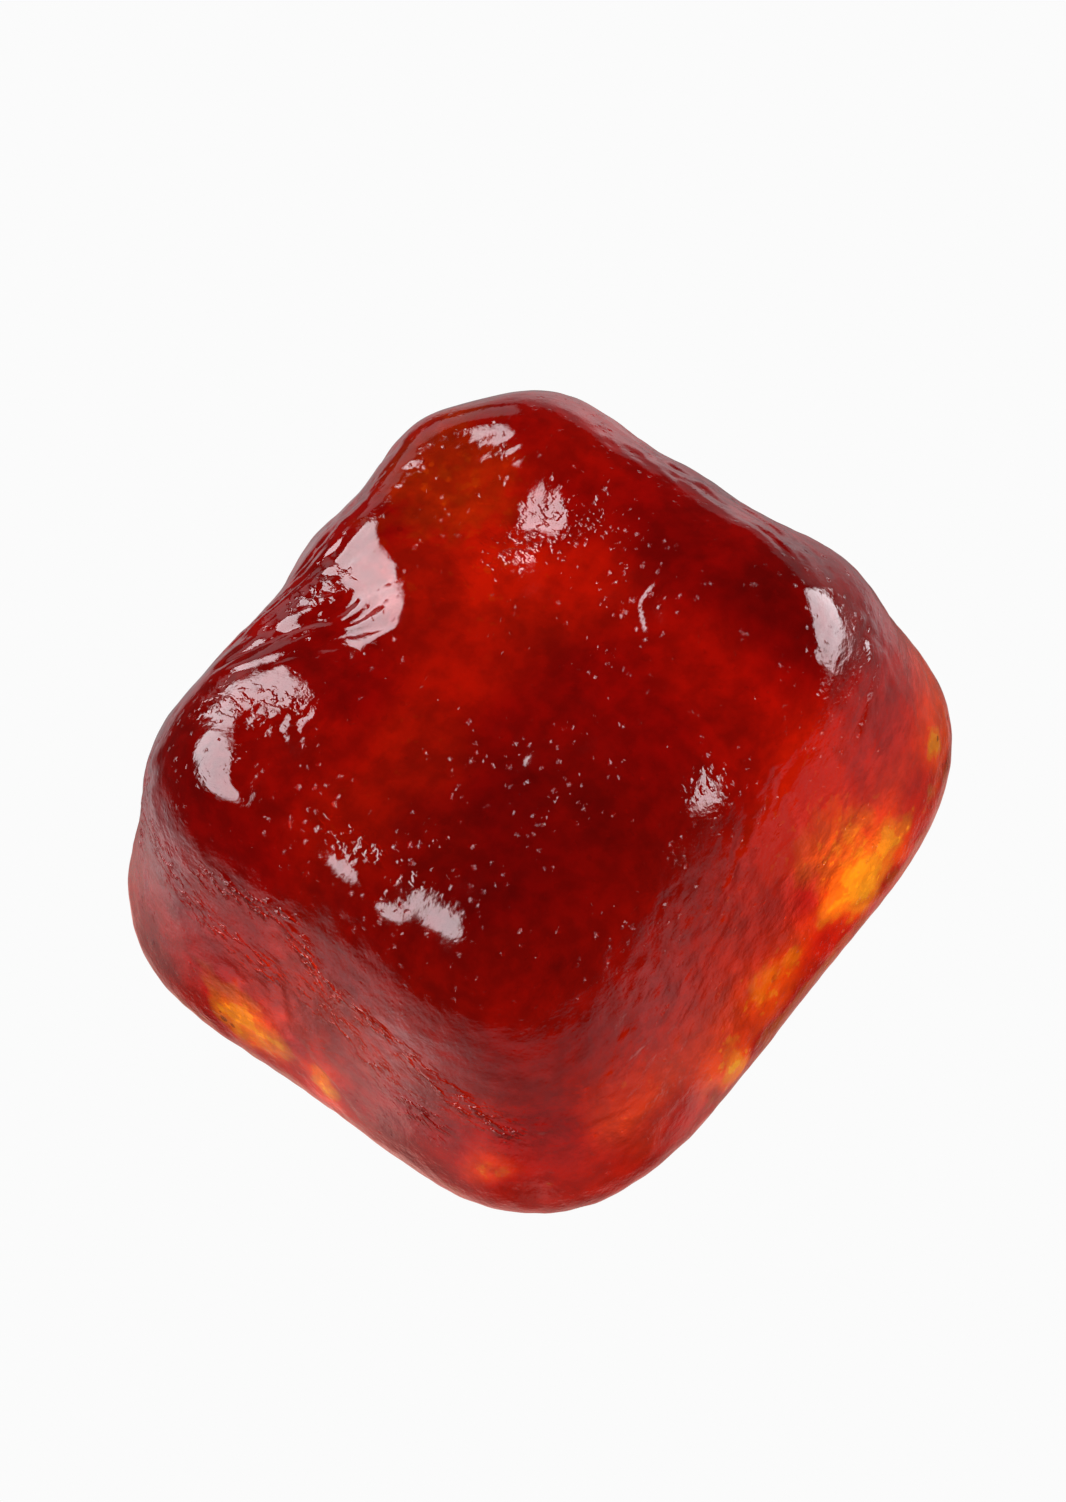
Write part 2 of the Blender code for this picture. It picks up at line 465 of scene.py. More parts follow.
# %% Bundles of wrinkles
# the long crease under the -Y rim, and the skin below its two halves
RIM_CREASE = ((-3.2, -8.0, 8.3), (-0.7, -7.8, 8.6), (0.3, -8.2, 7.1),
              (3.1, -8.4, 6.9), (4.8, -8.4, 6.0), (6.0, -8.2, 5.2))
LEFT_BELOW_CREASE = ((-5.3, -7.6, 7.6), (-3.2, -8.3, 6.8), (-1.2, -8.4, 6.2))
RIGHT_BELOW_CREASE = ((0.2, -8.4, 6.2), (2.4, -8.8, 5.4), (4.0, -9.0, 4.6))
WRINKLES = (
    # height, width of one wrinkle, its length and the reach of the bundle in mm, then the line
    (0.060, 0.28, 0.80, 0.32, RIM_CREASE),
    (0.035, 0.26, 0.70, 0.50, LEFT_BELOW_CREASE),
    (0.032, 0.28, 0.80, 0.60, RIGHT_BELOW_CREASE),
    # round the front corner, and down the +X side
    (0.035, 0.34, 1.20, 0.80, ((5.0, -8.5, 5.6), (6.7, -7.7, 5.0), (7.6, -6.4, 4.7), (7.9, -5.0, 4.9))),
    (0.050, 0.40, 0.80, 0.90, ((6.8, 2.2, 8.6), (6.9, 0.4, 8.0), (7.3, -1.8, 6.6), (7.7, -3.4, 5.2))),
    (0.050, 0.38, 0.75, 0.80, ((7.0, -1.9, 8.4), (7.1, -3.6, 7.6), (7.6, -5.2, 6.0))),
    (0.050, 0.34, 0.90, 1.00, ((6.6, 6.0, 7.6), (7.4, 4.2, 6.6), (8.0, 2.6, 5.2))),
    # down the left corner
    (0.100, 0.45, 1.60, 0.80, ((-6.3, -7.0, 8.6), (-6.5, -7.3, 6.2), (-5.8, -8.2, 4.6))),
    # on the middle, the left and the back lobe
    (0.085, 0.32, 1.80, 0.60, ((-5.6, -3.4, 9.9), (-4.6, -2.1, 10.4), (-3.7, -0.9, 10.7))),
    (0.080, 0.32, 2.00, 0.70, ((-6.2, -3.2, 9.0), (-5.9, -1.2, 9.6), (-5.5, 0.6, 9.9))),
    (0.060, 0.24, 0.80, 0.40, ((-5.2, -5.4, 10.0), (-4.4, -4.9, 10.4), (-3.3, -4.2, 10.7))),
    (0.050, 0.26, 0.80, 0.60, ((-5.4, 2.4, 10.0), (-4.6, 3.8, 10.1), (-3.2, 5.0, 10.4))),
    # along the +Y rim, and high on the sides at the back
    (0.090, 0.30, 1.30, 0.70, ((-0.8, 7.2, 9.6), (1.6, 7.2, 9.4), (3.6, 7.0, 9.8))),
    (0.060, 0.50, 2.00, 0.80, ((-7.0, -3.5, 7.6), (-7.1, 0.0, 7.4), (-7.0, 3.4, 7.6))),
    (0.050, 0.50, 2.00, 0.80, ((-5.0, 7.9, 7.6), (-1.5, 8.2, 7.2), (2.6, 8.2, 7.6))),
    # down the back corner and the right corner
    (0.050, 0.50, 1.80, 0.90, ((-6.6, 6.6, 7.2), (-7.2, 5.2, 5.0), (-7.6, 3.6, 3.6))),
    (0.090, 0.42, 1.80, 0.80, ((6.5, 7.0, 8.2), (7.2, 7.2, 6.0), (7.7, 7.3, 4.0))),
)
# a bundle ends where the distance is this many times its reach
BUNDLE_END = 2.5
# wrinkles sway: the size of the noise and its strength, as shares of their width
WRINKLE_SWAY, SWAY_STRENGTH = 1.4, 0.35
SHARP_PART, SOFT_PART = 0.5, 0.8
SWAY_SEEDS, SOFT_SEED = (2, 4, 8), 20


def wrinkle(points, height, width, length, reach, route):
    """Wrinkles along a route: noise that is stretched along it and fades away from it."""
    amount = np.zeros(len(points))
    distance = distance_to(points, route)
    near = distance < BUNDLE_END * reach * MM
    along = np.array(route[-1], dtype=float) - np.array(route[0], dtype=float)
    along /= np.linalg.norm(along)
    local = points[near] / MM
    local -= np.outer(local @ along, along) * (1 - width / length)
    local += SWAY_STRENGTH * width * sway_at(local, WRINKLE_SWAY * width, SWAY_SEEDS)
    sharp = SHARP_PART * (ridges_at(local, width) - RIDGE_MIDDLE)
    soft = SOFT_PART * noise_at(local, width, SOFT_SEED)
    amount[near] = height * MM * (sharp + soft) * soft_bump(distance[near], reach * MM)
    return amount


points = get_points(jelly_mesh)
wrinkles = sum(wrinkle(points, *row) for row in WRINKLES)
push_out(jelly_mesh, wrinkles * above_table(points))
print_span("wrinkles", wrinkles)

# %% [markdown]
# ## Creases
#
# A crease is one narrow furrow with a soft lip on both sides, where the skin has been folded. A
# knife tool could cut it into the mesh, but then its floor is as sharp as its edges. Two soft
# bumps along a line, a narrow deep one and a wide low one, make the furrow and its lips at once.

# %% Creases
# depth and width in mm, then the line; a depth below zero makes a ridge
CREASES = (
    # across the middle lobe
    (0.10, 0.16, ((-3.9, -1.9, 10.6), (-3.3, -1.3, 10.8), (-2.7, -0.7, 10.9))),
    (0.12, 0.20, ((-5.0, -2.2, 10.3), (-4.3, -1.4, 10.5), (-4.1, -0.6, 10.5))),
    (0.12, 0.20, ((-4.6, -3.2, 10.4), (-3.9, -2.2, 10.7), (-3.3, -1.7, 10.8))),
    # across the left lobe
    (0.12, 0.18, ((-5.1, -4.9, 10.1), (-4.3, -4.5, 10.5), (-3.1, -3.9, 10.7))),
    (0.10, 0.16, ((-5.1, -6.2, 10.0), (-4.4, -5.7, 10.3), (-3.9, -5.4, 10.4))),
    # before the back lobe, and a bright little ridge beside it
    (0.05, 0.16, ((-1.6, 2.2, 10.6), (-0.9, 2.8, 10.7), (-0.1, 3.4, 10.8))),
    (-0.06, 0.12, ((2.1, 3.9, 10.9), (2.1, 3.3, 10.9), (2.7, 2.8, 10.9))),
    # down the -Y side, down the +X side, and outside the middle lobe
    (0.10, 0.25, ((-1.1, -8.3, 6.6), (-0.7, -9.0, 4.4), (0.2, -9.2, 3.4), (1.5, -9.3, 2.6))),
    (0.10, 0.25, ((6.8, 2.3, 8.7), (7.2, 2.0, 7.5), (7.6, 1.8, 6.2), (8.1, 1.4, 4.6))),
    (0.10, 0.22, ((-5.9, 0.9, 9.6), (-6.2, -0.6, 9.2), (-6.3, -2.2, 9.2))),
)
# the lips beside a furrow: their height and reach, as shares of the furrow's own
LIP_HEIGHT, LIP_REACH = 0.5, 2
# a furrow isn't equally deep all along: its steady part, and the part that a noise changes
STEADY_DEPTH, UNEVEN_DEPTH, UNEVEN_SIZE, UNEVEN_SEED = 0.65, 0.7, 0.5 * MM, 40


def crease(points, depth, width, route):
    """A furrow along a route, with a lip half as high on both sides."""
    distance = distance_to(points, route)
    furrow = soft_bump(distance, width * MM)
    lips = LIP_HEIGHT * soft_bump(distance, LIP_REACH * width * MM)
    unevenness = STEADY_DEPTH + UNEVEN_DEPTH * noise_at(points, UNEVEN_SIZE, UNEVEN_SEED)
    return -depth * MM * (furrow - lips) * unevenness


points = get_points(jelly_mesh)
creases = sum(crease(points, *row) for row in CREASES)
push_out(jelly_mesh, creases * above_table(points))
print_span("creases", creases)

# %% [markdown]
# ## Crumpled spots
#
# Where two gummies have pressed against each other, the skin is crumpled like thin paper. A
# cloth simulation could crumple it, but noise that is folded at its zero line has the same
# short sharp valleys, and each spot stays at its place.

# %% Crumpled spots
CRUMPLES = (
    # place, reach and height in mm
    ((-4.9, -1.0, 10.3), 0.55, 0.07),  # middle lobe
    ((-5.1, 0.2, 10.0), 0.50, 0.05),
    ((-3.5, -4.3, 10.7), 0.60, 0.05),  # left lobe
    ((-2.6, -4.1, 10.9), 0.50, 0.06),
    ((-5.2, -5.0, 10.0), 0.50, 0.05),
    ((-2.9, -2.1, 10.8), 0.50, 0.05),  # between the two
    ((-4.0, 3.2, 10.2), 1.10, 0.04),  # bowl before the back lobe
    ((0.6, -5.7, 10.6), 0.50, 0.04),  # inside the -Y rim
    ((5.9, 0.6, 10.0), 0.60, 0.015),  # +X rim
    ((5.9, 5.2, 10.0), 0.50, 0.03),  # right lobe
)
CRUMPLE_SIZE, CRUMPLE_SEED = 0.30 * MM, 7

points = get_points(jelly_mesh)
crumple_noise = ridges_at(points, CRUMPLE_SIZE, CRUMPLE_SEED) - RIDGE_MIDDLE
crumples = np.zeros(len(points))
for place, reach, height in CRUMPLES:
    crumples += height * MM * soft_bump(mm_from(points, place), reach) * crumple_noise
push_out(jelly_mesh, crumples)
print_span("crumpled spots", crumples)

# %% [markdown]
# ## Pits
#
# A pit is a small dent left by a bubble or a grain of sugar. Cut out with a ball it would have a
# sharp rim, so the points near its centre are pushed in softly. There are far more small pits
# than large ones, so their radius grows with a random number to the third power. The dice have
# a fixed seed, so every run throws the same pits.

# %% Pits
PIT_COUNT = 220
PIT_RADIUS = (0.10 * MM, 0.32 * MM)
PIT_POWER = 3
PIT_DEPTH = 0.16
PIT_SWAY, PIT_SWAY_SIZE = 0.16 * MM, 0.30 * MM
PIT_STRETCH = 0.45
PIT_LOWEST = 2 * MM
PIT_DICE, PIT_SEEDS = 11, (31, 33, 35)

dice = np.random.default_rng(PIT_DICE)
points = get_points(jelly_mesh)
upper = np.flatnonzero(points[:, 2] > PIT_LOWEST)
pits = np.zeros(len(points))
sway = PIT_SWAY * sway_at(points, PIT_SWAY_SIZE, PIT_SEEDS)
for centre in points[dice.choice(upper, PIT_COUNT)]:
    radius = PIT_RADIUS[0] + (PIT_RADIUS[1] - PIT_RADIUS[0]) * dice.random() ** PIT_POWER
    # a pit is drawn out to one side
    lengthwise = dice.normal(size=3)
    lengthwise /= np.linalg.norm(lengthwise)
    offset = points + sway - centre
    offset -= PIT_STRETCH * np.outer(offset @ lengthwise, lengthwise)
    distance = np.linalg.norm(offset, axis=1)
    pits -= PIT_DEPTH * radius * soft_bump(distance, radius)
push_out(jelly_mesh, pits)
print_span("pits", pits)

# %% [markdown]
# ## Crumpled and pored parts
#
# Some folds and pores are finer than the mesh. A bump in the material will draw them, but only
# where they belong: every point of the mesh carries a value for how crumpled its skin is, and one
# for how close its pores sit together. Painting by hand could set them, and so can named places.

# %% Where the skin is crumpled
CRUMPLED_LINES = (
    # reach in mm and strength, then the line
    (0.32, 1.00, RIM_CREASE),
    (0.50, 0.40, LEFT_BELOW_CREASE),
    (0.50, 0.40, RIGHT_BELOW_CREASE),
    (0.50, 0.50, ((-6.4, -7.0, 8.2), (-6.5, -7.4, 6.0))),  # left corner
    (0.30, 0.16, ((-5.3, -1.4, 10.1), (-4.9, -0.9, 10.3), (-4.7, -0.3, 10.3))),  # middle lobe
    (0.40, 0.16, ((-5.2, -4.9, 10.1), (-4.3, -4.4, 10.5), (-3.0, -3.8, 10.8))),  # left lobe
    (0.30, 0.16, ((-3.9, -6.4, 10.3), (-3.3, -5.6, 10.6))),
    (0.35, 0.16, ((-0.6, -5.9, 10.7), (0.8, -5.6, 10.7), (1.8, -5.6, 10.6))),  # inside the -Y rim
    (0.70, 0.14, ((-1.8, 2.6, 10.5), (-1.4, 3.6, 10.4), (-0.9, 4.2, 10.4))),  # inside the back lobe
    (0.35, 0.10, ((5.8, 0.2, 10.1), (6.2, 1.0, 9.9))),  # +X rim
)
# from this value on, a point counts as crumpled
CLEARLY_CRUMPLED = 0.3

points = get_points(jelly_mesh)
crumpled = np.zeros(len(points))
for reach, strength, route in CRUMPLED_LINES:
    nearness = soft_bump(distance_to(points, route), reach * MM)
    crumpled = np.maximum(crumpled, strength * nearness)
print("share of the skin that is crumpled:", round(float((crumpled > CLEARLY_CRUMPLED).mean()), 3))

# %% Where pores sit close together
PORED_PLACES = (
    # place and reach in mm
    ((1.0, 3.6, 10.8), 1.1),  # beside the back lobe
    ((-3.6, 3.2, 10.2), 1.3),  # bowl before it
    ((-5.0, 4.8, 10.0), 1.2),
    ((2.9, -2.4, 10.8), 1.6),  # dark heart
    ((5.0, 3.8, 10.8), 1.3),  # saddle to the right
    ((1.4, -5.5, 10.6), 1.0),  # inside the -Y rim
    ((-1.5, -6.0, 10.6), 1.0),
    ((5.6, -4.4, 10.2), 1.1),  # behind the front lobe
    ((-4.6, -5.2, 10.2), 1.0),  # left lobe
)

pored = np.zeros(len(points))
for place, reach in PORED_PLACES:
    pored = np.maximum(pored, soft_bump(mm_from(points, place), reach))
print("mean share of pores:", round(float(pored.mean()), 3))

# %% [markdown]
# ## The finished piece
#
# The mesh becomes an object at the origin, which stands for the CAD solid, and the solid is
# hidden. Smooth shading hides its small faces. An edge stays sharp only where two faces meet at a
# steep angle.

# %% The jelly as an object
SHARP_EDGE = math.radians(60)

jelly_mesh.shade_smooth()
jelly_mesh.set_sharp_from_angle(angle=SHARP_EDGE)
jelly = place_in_scene("jelly", jelly_mesh)
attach(jelly, "root")
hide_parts("gummy")
print("size of the jelly, mm:", np.round(np.ptp(get_points(jelly_mesh), axis=0) / MM, 2))

# %% [markdown]
# ## Amber patches of painted light
#
# Low on the sides the jelly is thin and light gathers there: the red turns to orange and yellow.
# These pools of gathered light are painted into the colour of the skin: a value that every point
# of the mesh carries, from 0 in the deep red to 1 in the yellow, so it stays with the skin. A few
# named places with soft edges set it, and noise frays the edges.

# %% Places of the amber
# painted pools of gathered light, orange and yellow in the skin's colour
PAINTED_AMBER_GLOW = (
    # place in mm, reach in mm and strength of the painted glow
    ((8.4, 3.0, 3.3), 1.0, 1.6),  # large pool on the +X side
    ((8.3, 4.1, 3.4), 0.6, 1.2),
    ((7.9, 2.6, 4.9), 1.4, 0.85),
    ((7.6, 2.4, 5.9), 1.0, 0.62),
    ((8.3, 1.9, 3.5), 0.7, 0.95),
    ((8.3, 5.0, 3.1), 0.4, 0.8),
    ((8.2, 6.0, 2.6), 0.5, 0.5),
    ((7.7, 7.0, 3.4), 0.35, 1.4),
    ((8.3, 0.1, 3.2), 0.4, 0.52),  # small pools along the foot of that side
    ((8.2, -0.8, 3.6), 0.9, 0.45),
    ((8.3, -1.2, 3.4), 0.4, 0.56),
    ((8.4, -2.6, 3.0), 0.6, 0.35),
    ((8.5, -2.7, 2.2), 0.45, 1.05),
    ((-2.3, -9.3, 3.4), 0.8, 1.6),  # pools on the -Y side
    ((-2.7, -9.1, 4.1), 1.0, 0.72),
    ((-1.9, -9.1, 4.1), 0.55, 1.0),
    ((-1.3, -9.3, 3.2), 0.6, 1.25),
    ((0.6, -9.3, 2.8), 0.45, 1.2),
    ((5.4, -8.9, 3.6), 0.5, 0.54),  # orange sparks round the front corner
    ((6.1, -8.5, 3.5), 0.4, 0.46),
    ((6.8, -8.2, 3.1), 0.35, 0.42),
    ((-4.4, 3.4, 10.2), 1.8, 0.90),  # orange bowl before the back lobe
    ((-4.9, 1.2, 10.3), 1.0, 0.5),
    ((-5.2, 5.2, 10.0), 1.1, 0.75),
    ((-8.2, 0.0, 3.0), 1.8, 1.2),  # sides at the back
    ((-8.2, -4.5, 3.0), 0.9, 1.1),
    ((-2.5, 9.2, 3.0), 1.6, 1.3),
    ((3.5, 9.2, 3.0), 1.0, 1.0),
)
print("places with amber:", len(PAINTED_AMBER_GLOW))

# %% [markdown]
# ## The strip round the foot
#
# The lowest part of the sides is a dim strip of painted shade, brown along the sides and red round
# the front corner, because the light that comes out there has crossed the whole foot. A straight
# band would look drawn on, so its upper edge goes up and down with a noise, and two pools break
# through it.

# %% Amber at each point
AMBER_FRAY, AMBER_SWAY, AMBER_SEEDS = 0.5 * MM, 0.35, (3, 5, 9)
STRIP_HEIGHT = (1.9 * MM, 2.5 * MM)
STRIP_SWAY, STRIP_SWAY_SIZE, STRIP_SEED = 0.40 * MM, 0.9 * MM, 50
STRIP_GAPS = ((8.5, -2.7, 2.0), (0.6, -9.4, 2.3))
GAP_REACH, GAP_LIFT = 0.5, 1.0 * MM
# the painted shade of the strip keeps this much light and amber glow, and the front corner loses most
# of its glow
FOOT_LIGHT, FOOT_AMBER = 0.36, 0.42
FRONT_CORNER, CORNER_REACH, CORNER_RED = (7.6, -7.2, 2.0), 2.8, 0.9
# from this value on, a point counts as amber
CLEARLY_AMBER = 0.5


def soft_patches(points, rows):
    """Soft round patches, whose edges are swayed by a noise."""
    value = np.zeros(len(points))
    sway = AMBER_SWAY * sway_at(points, AMBER_FRAY, AMBER_SEEDS)
    for place, reach, strength in rows:
        distance = mm_from(points, place, sway)
        value = np.maximum(value, strength * soft_bump(distance, reach))
    return value


points = get_points(jelly_mesh)
strip_edge = points[:, 2] + STRIP_SWAY * noise_at(points, STRIP_SWAY_SIZE, STRIP_SEED)
for place in STRIP_GAPS:
    strip_edge += GAP_LIFT * soft_bump(mm_from(points, place), GAP_REACH)
# 0 in the strip of painted shade and 1 above it
rim_shade = soft_step(strip_edge, *STRIP_HEIGHT)
corner = soft_bump(mm_from(points, FRONT_CORNER), CORNER_REACH)
foot_amber = FOOT_AMBER * (1 - CORNER_RED * corner)
amber_glow = foot_amber + (soft_patches(points, PAINTED_AMBER_GLOW) - foot_amber) * rim_shade
print("share of the skin that is amber:", round(float((amber_glow > CLEARLY_AMBER).mean()), 3))

# %% [markdown]
# ## Painted light and dark parts
#
# The light through the gummy isn't even either: the four lobes and the heart of the block are
# dark, and a smoky bright band runs across the sunken middle. This light and shade is painted: a
# value for each point, set at a few named places and blended between them by distance, darkens
# the colour where less light comes through.

# %% Places of light and dark
# painted light and shade: how much light each place lets through the skin's colour
PAINTED_LIGHT = (
    # place in mm and share of the light; above 1 the light stays full where a noise dims it
    ((-0.9, 2.0, 10.7), 0.98),  # bright spot before the back lobe
    ((0.2, 2.7, 10.8), 0.74),
    ((-0.3, -0.6, 10.8), 0.74),  # smoky band from there to the front
    ((-3.0, 0.6, 10.8), 0.84),  # its arm to the left
    ((-0.1, -2.9, 10.8), 0.88),  # its far part
    ((-1.8, -4.1, 10.9), 0.60),
    ((-0.3, -5.2, 10.9), 0.82),
    ((1.6, -1.2, 10.7), 0.49),
    ((2.9, -2.8, 10.9), 0.34),  # dark heart
    ((3.7, -5.0, 10.9), 0.41),  # inner slope of the front lobe
    ((3.8, -1.8, 10.8), 0.52),
    ((1.9, -4.5, 10.9), 0.58),
    ((5.2, -6.0, 10.4), 0.60),  # front lobe
    ((2.6, 0.8, 10.8), 0.47),
    ((4.3, 0.6, 10.8), 0.46),
    ((4.4, 2.8, 10.9), 0.60),  # saddle to the right
    ((4.5, 5.7, 10.8), 0.29),  # right lobe
    ((5.9, 6.9, 9.2), 0.30),
    ((1.0, 7.2, 9.6), 0.38),
    ((1.6, 5.6, 10.8), 0.39),  # rim between the right and the back lobe
    ((-1.2, 4.2, 10.5), 0.50),
    ((-3.8, 5.6, 10.6), 0.52),  # back lobe
    ((-3.2, 4.0, 10.4), 0.76),  # orange bowl before it
    ((-5.2, 3.0, 10.3), 0.66),
    ((-5.4, 1.4, 10.2), 0.42),
    ((-4.0, -1.9, 10.6), 0.40),  # middle lobe on the left
    ((-2.4, -2.8, 11.0), 0.44),
    ((-4.6, -6.4, 10.1), 0.37),  # left lobe
    ((-2.4, -5.6, 11.0), 0.55),
    ((-2.4, -7.4, 9.4), 0.44),
    ((-2.1, -8.2, 7.4), 0.58),
    ((1.6, -7.4, 9.4), 0.56),  # rim between the left and the front lobe
    ((-3.9, -8.7, 5.4), 0.45),  # side below the left lobe
    ((-4.6, -9.2, 3.0), 0.19),
    ((-2.6, -9.0, 4.8), 0.42),
    ((-3.6, -9.3, 2.8), 0.28),
    ((-2.3, -9.2, 3.4), 0.76),  # pool of light low on the -Y side
    ((-3.0, -9.1, 4.2), 0.38),
    ((-2.0, -9.0, 4.7), 0.60),
    ((-1.6, -9.2, 3.9), 0.88),
    ((-1.0, -9.3, 2.9), 0.80),
    ((-0.3, -9.1, 3.7), 0.46),
    ((-0.3, -9.4, 2.4), 0.40),
    ((0.6, -9.3, 2.9), 0.82),  # small pool beside it
    ((1.2, -9.3, 2.9), 0.38),
    ((3.7, -9.4, 2.8), 0.27),
    ((-0.4, -8.2, 7.0), 0.80),
    ((2.4, -8.4, 6.8), 0.80),  # middle of the -Y side
    ((5.0, -8.2, 6.4), 0.60),
    ((4.5, -9.0, 4.0), 0.38),
    ((5.6, -8.8, 3.6), 0.72),  # small pool low at the front corner
    ((6.6, -7.9, 4.6), 0.37),
    ((5.4, -7.4, 9.1), 0.62),
    ((1.3, -7.9, 8.3), 0.76),
    ((-1.6, -8.7, 5.9), 0.66),
    ((-0.3, -8.9, 4.7), 0.66),
    ((6.7, -6.4, 9.0), 0.64),
    ((7.6, -4.2, 6.2), 0.69),
    ((7.9, -5.4, 4.6), 0.98),  # bright streaks beside the front corner
    ((8.2, -5.4, 3.2), 0.55),
    ((8.4, -4.9, 2.5), 0.42),
    ((7.9, -7.0, 2.6), 0.45),  # foot of the front corner
    ((7.1, -8.2, 2.3), 0.42),
    ((6.3, -8.7, 2.8), 0.32),
    ((7.3, -0.3, 7.2), 0.80),
    ((7.6, 2.2, 6.2), 1.35),  # middle of the +X side
    ((7.4, 2.0, 6.8), 1.50),
    ((8.2, 3.4, 3.8), 1.00),  # pool of light below it
    ((7.9, 0.6, 5.2), 0.60),  # red veil beside the pool
    ((8.3, 1.8, 3.4), 0.80),
    ((8.0, 1.4, 4.6), 0.45),  # dark edge of the pool
    ((8.4, 1.2, 2.7), 0.40),
    ((8.4, 0.5, 2.6), 0.48),
    ((8.3, 0.1, 3.2), 0.85),  # small pools along the foot of that side
    ((8.2, -1.0, 3.5), 0.90),
    ((8.0, -0.2, 4.6), 0.62),
    ((8.4, -2.0, 2.7), 0.62),
    ((8.5, -2.8, 2.3), 1.10),
    ((8.1, 5.8, 3.2), 0.48),
    ((7.7, 7.0, 3.4), 0.85),  # small spot at the right corner
    ((7.3, 5.6, 6.2), 0.57),
    ((7.6, 4.4, 6.0), 0.66),
    ((6.6, 1.0, 9.4), 0.58),
    ((-7.2, -2.0, 6.5), 0.80),  # sides at the back
    ((-7.3, 3.0, 6.0), 0.92),
    ((-2.5, 8.3, 6.5), 0.86),
    ((3.5, 8.4, 6.0), 0.66),
    ((-6.2, 7.0, 5.0), 0.55),
)
print("places of light and dark:", len(PAINTED_LIGHT))

# %% How much light comes through at each point
# how soon a place gives way to its neighbours, in square mm
PLACE_SOFTNESS = 0.2
# keeps a point that is far from all places from a division by zero
LEAST_WEIGHT = 1e-9


def blend_places(points, rows):
    """Value at each point: the mean of the places' values, where near places count most."""
    total = np.zeros(len(points))
    weights = np.full(len(points), LEAST_WEIGHT)
    for place, value in rows:
        weight = 1 / (mm_from(points, place) ** 2 + PLACE_SOFTNESS) ** 2
        total += weight * value
        weights += weight
    return total / weights


def give_attribute(mesh, name, values):
    """Stores one number for each point, which a material can read by its name."""
    mesh.attributes.new(name, "FLOAT", "POINT").data.foreach_set("value", values.astype(np.float32))


# painted light and shade, held down further in the strip round the foot
light = blend_places(points, PAINTED_LIGHT)
dim_light = np.minimum(light, FOOT_LIGHT)
light = dim_light + (light - dim_light) * rim_shade
for name, values in (("amber_glow", amber_glow), ("light", light), ("sideways", side_share(jelly_mesh)),
                     ("crumpled", crumpled), ("pored", pored)):
    give_attribute(jelly_mesh, name, values)
print("light through the skin:", round(float(light.min()), 2), "to", round(float(light.max()), 2))

# %% [markdown]
# ## Helpers for materials
#
# A material is a tree of nodes, and the same few kinds come back again and again. A helper for
# each kind keeps the tree easy to read, because a line then says what happens to a value. Inputs
# take a number, a colour or the output of another node.

# %% Helpers for node trees
def connect(tree, source, target):
    """Joins an output to an input, or sets the input to a number, a colour or a vector."""
    if isinstance(source, bpy.types.NodeSocket):
        tree.links.new(source, target)
    elif target.type == "RGBA":
        target.default_value = (*source, 1.0)
    else:
        target.default_value = source


def add_node(tree, kind, label="", **inputs):
    """Adds a shader node and feeds the inputs given by name, with _ for a space."""
    node = tree.nodes.new("ShaderNode" + kind)
    node.label = label
    for key, source in inputs.items():
        connect(tree, source, node.inputs[key.replace("_", " ")])
    return node


def calculate(tree, operation, a, b=0.0, label=""):
    """One Math node; a and b are numbers or sockets."""
    node = add_node(tree, "Math", label or operation.lower())
    node.operation = operation
    connect(tree, a, node.inputs[0])
    connect(tree, b, node.inputs[1])
    return node.outputs["Value"]


def multiply(tree, value, *others):
    """Multiplies a value by others, one after the other."""
    for other in others:
        value = calculate(tree, "MULTIPLY", value, other)
    return value


def add(tree, value, *others):
    """Adds others to a value, one after the other."""
    for other in others:
        value = calculate(tree, "ADD", value, other)
    return value


# %% Helpers for vectors, ranges and mixes
def vector_math(tree, operation, *sources):
    """One Vector Math node, fed with vectors, colours or sockets."""
    node = add_node(tree, "VectorMath", operation.lower())
    node.operation = operation
    for source, target in zip(sources, node.inputs):
        connect(tree, source, target)
    return node


def map_range(tree, value, start, end, to_start=0.0, to_end=1.0):
    """Carries a value from one range to another, with soft ends."""
    node = add_node(tree, "MapRange", Value=value, From_Min=start, From_Max=end,
                    To_Min=to_start, To_Max=to_end)
    node.interpolation_type = "SMOOTHSTEP"
    return node.outputs["Result"]


def mix_value(tree, factor, a, b):
    """Goes from value a to value b as the factor goes from 0 to 1."""
    return add_node(tree, "Mix", Factor=factor, A=a, B=b).outputs["Result"]


def mix_colour(tree, factor, a, b):
    """Goes from colour a to colour b as the factor goes from 0 to 1."""
    node = add_node(tree, "Mix")
    node.data_type = "RGBA"
    connect(tree, factor, node.inputs["Factor"])
    # a Mix node has two inputs for each kind of data, and these are the two for colours
    connect(tree, a, node.inputs[6])
    connect(tree, b, node.inputs[7])
    return node.outputs[2]


# %% Helpers for textures and attributes
def noise_value(tree, place, size, detail, label):
    """A Noise Texture with swellings of the given size, as a value around 0.5."""
    node = add_node(tree, "TexNoise", label, Vector=place, Scale=1 / size, Detail=detail)
    return node.outputs["Fac"]


def object_place(tree):
    """The place on the object, which stays with it however the camera moves."""
    return add_node(tree, "TexCoord").outputs["Object"]


def read_attribute(tree, name):
    """The value that the points of the mesh carry under a name."""
    node = add_node(tree, "Attribute", name)
    node.attribute_name = name
    return node.outputs["Fac"]


# %% [markdown]
# ## Dents
#
# Pores and bubbles are round dents at random places. Noise gives no separate dents, but a cell
# texture divides space into cells, each with a random colour and a distance from its middle. The
# distance makes the dent, the colour decides which cells have one, and a noise that sways the
# place beforehand makes the dents crooked.

# %% Helpers for dents
# the sway of a dent: size of its noise and its amount, as shares of the spacing of the cells
DENT_SWAY_SIZE, DENT_SWAY = 0.35, 0.6
# as a share of the spacing: a dent is fully deep up to here
DENT_FLOOR = 0.04


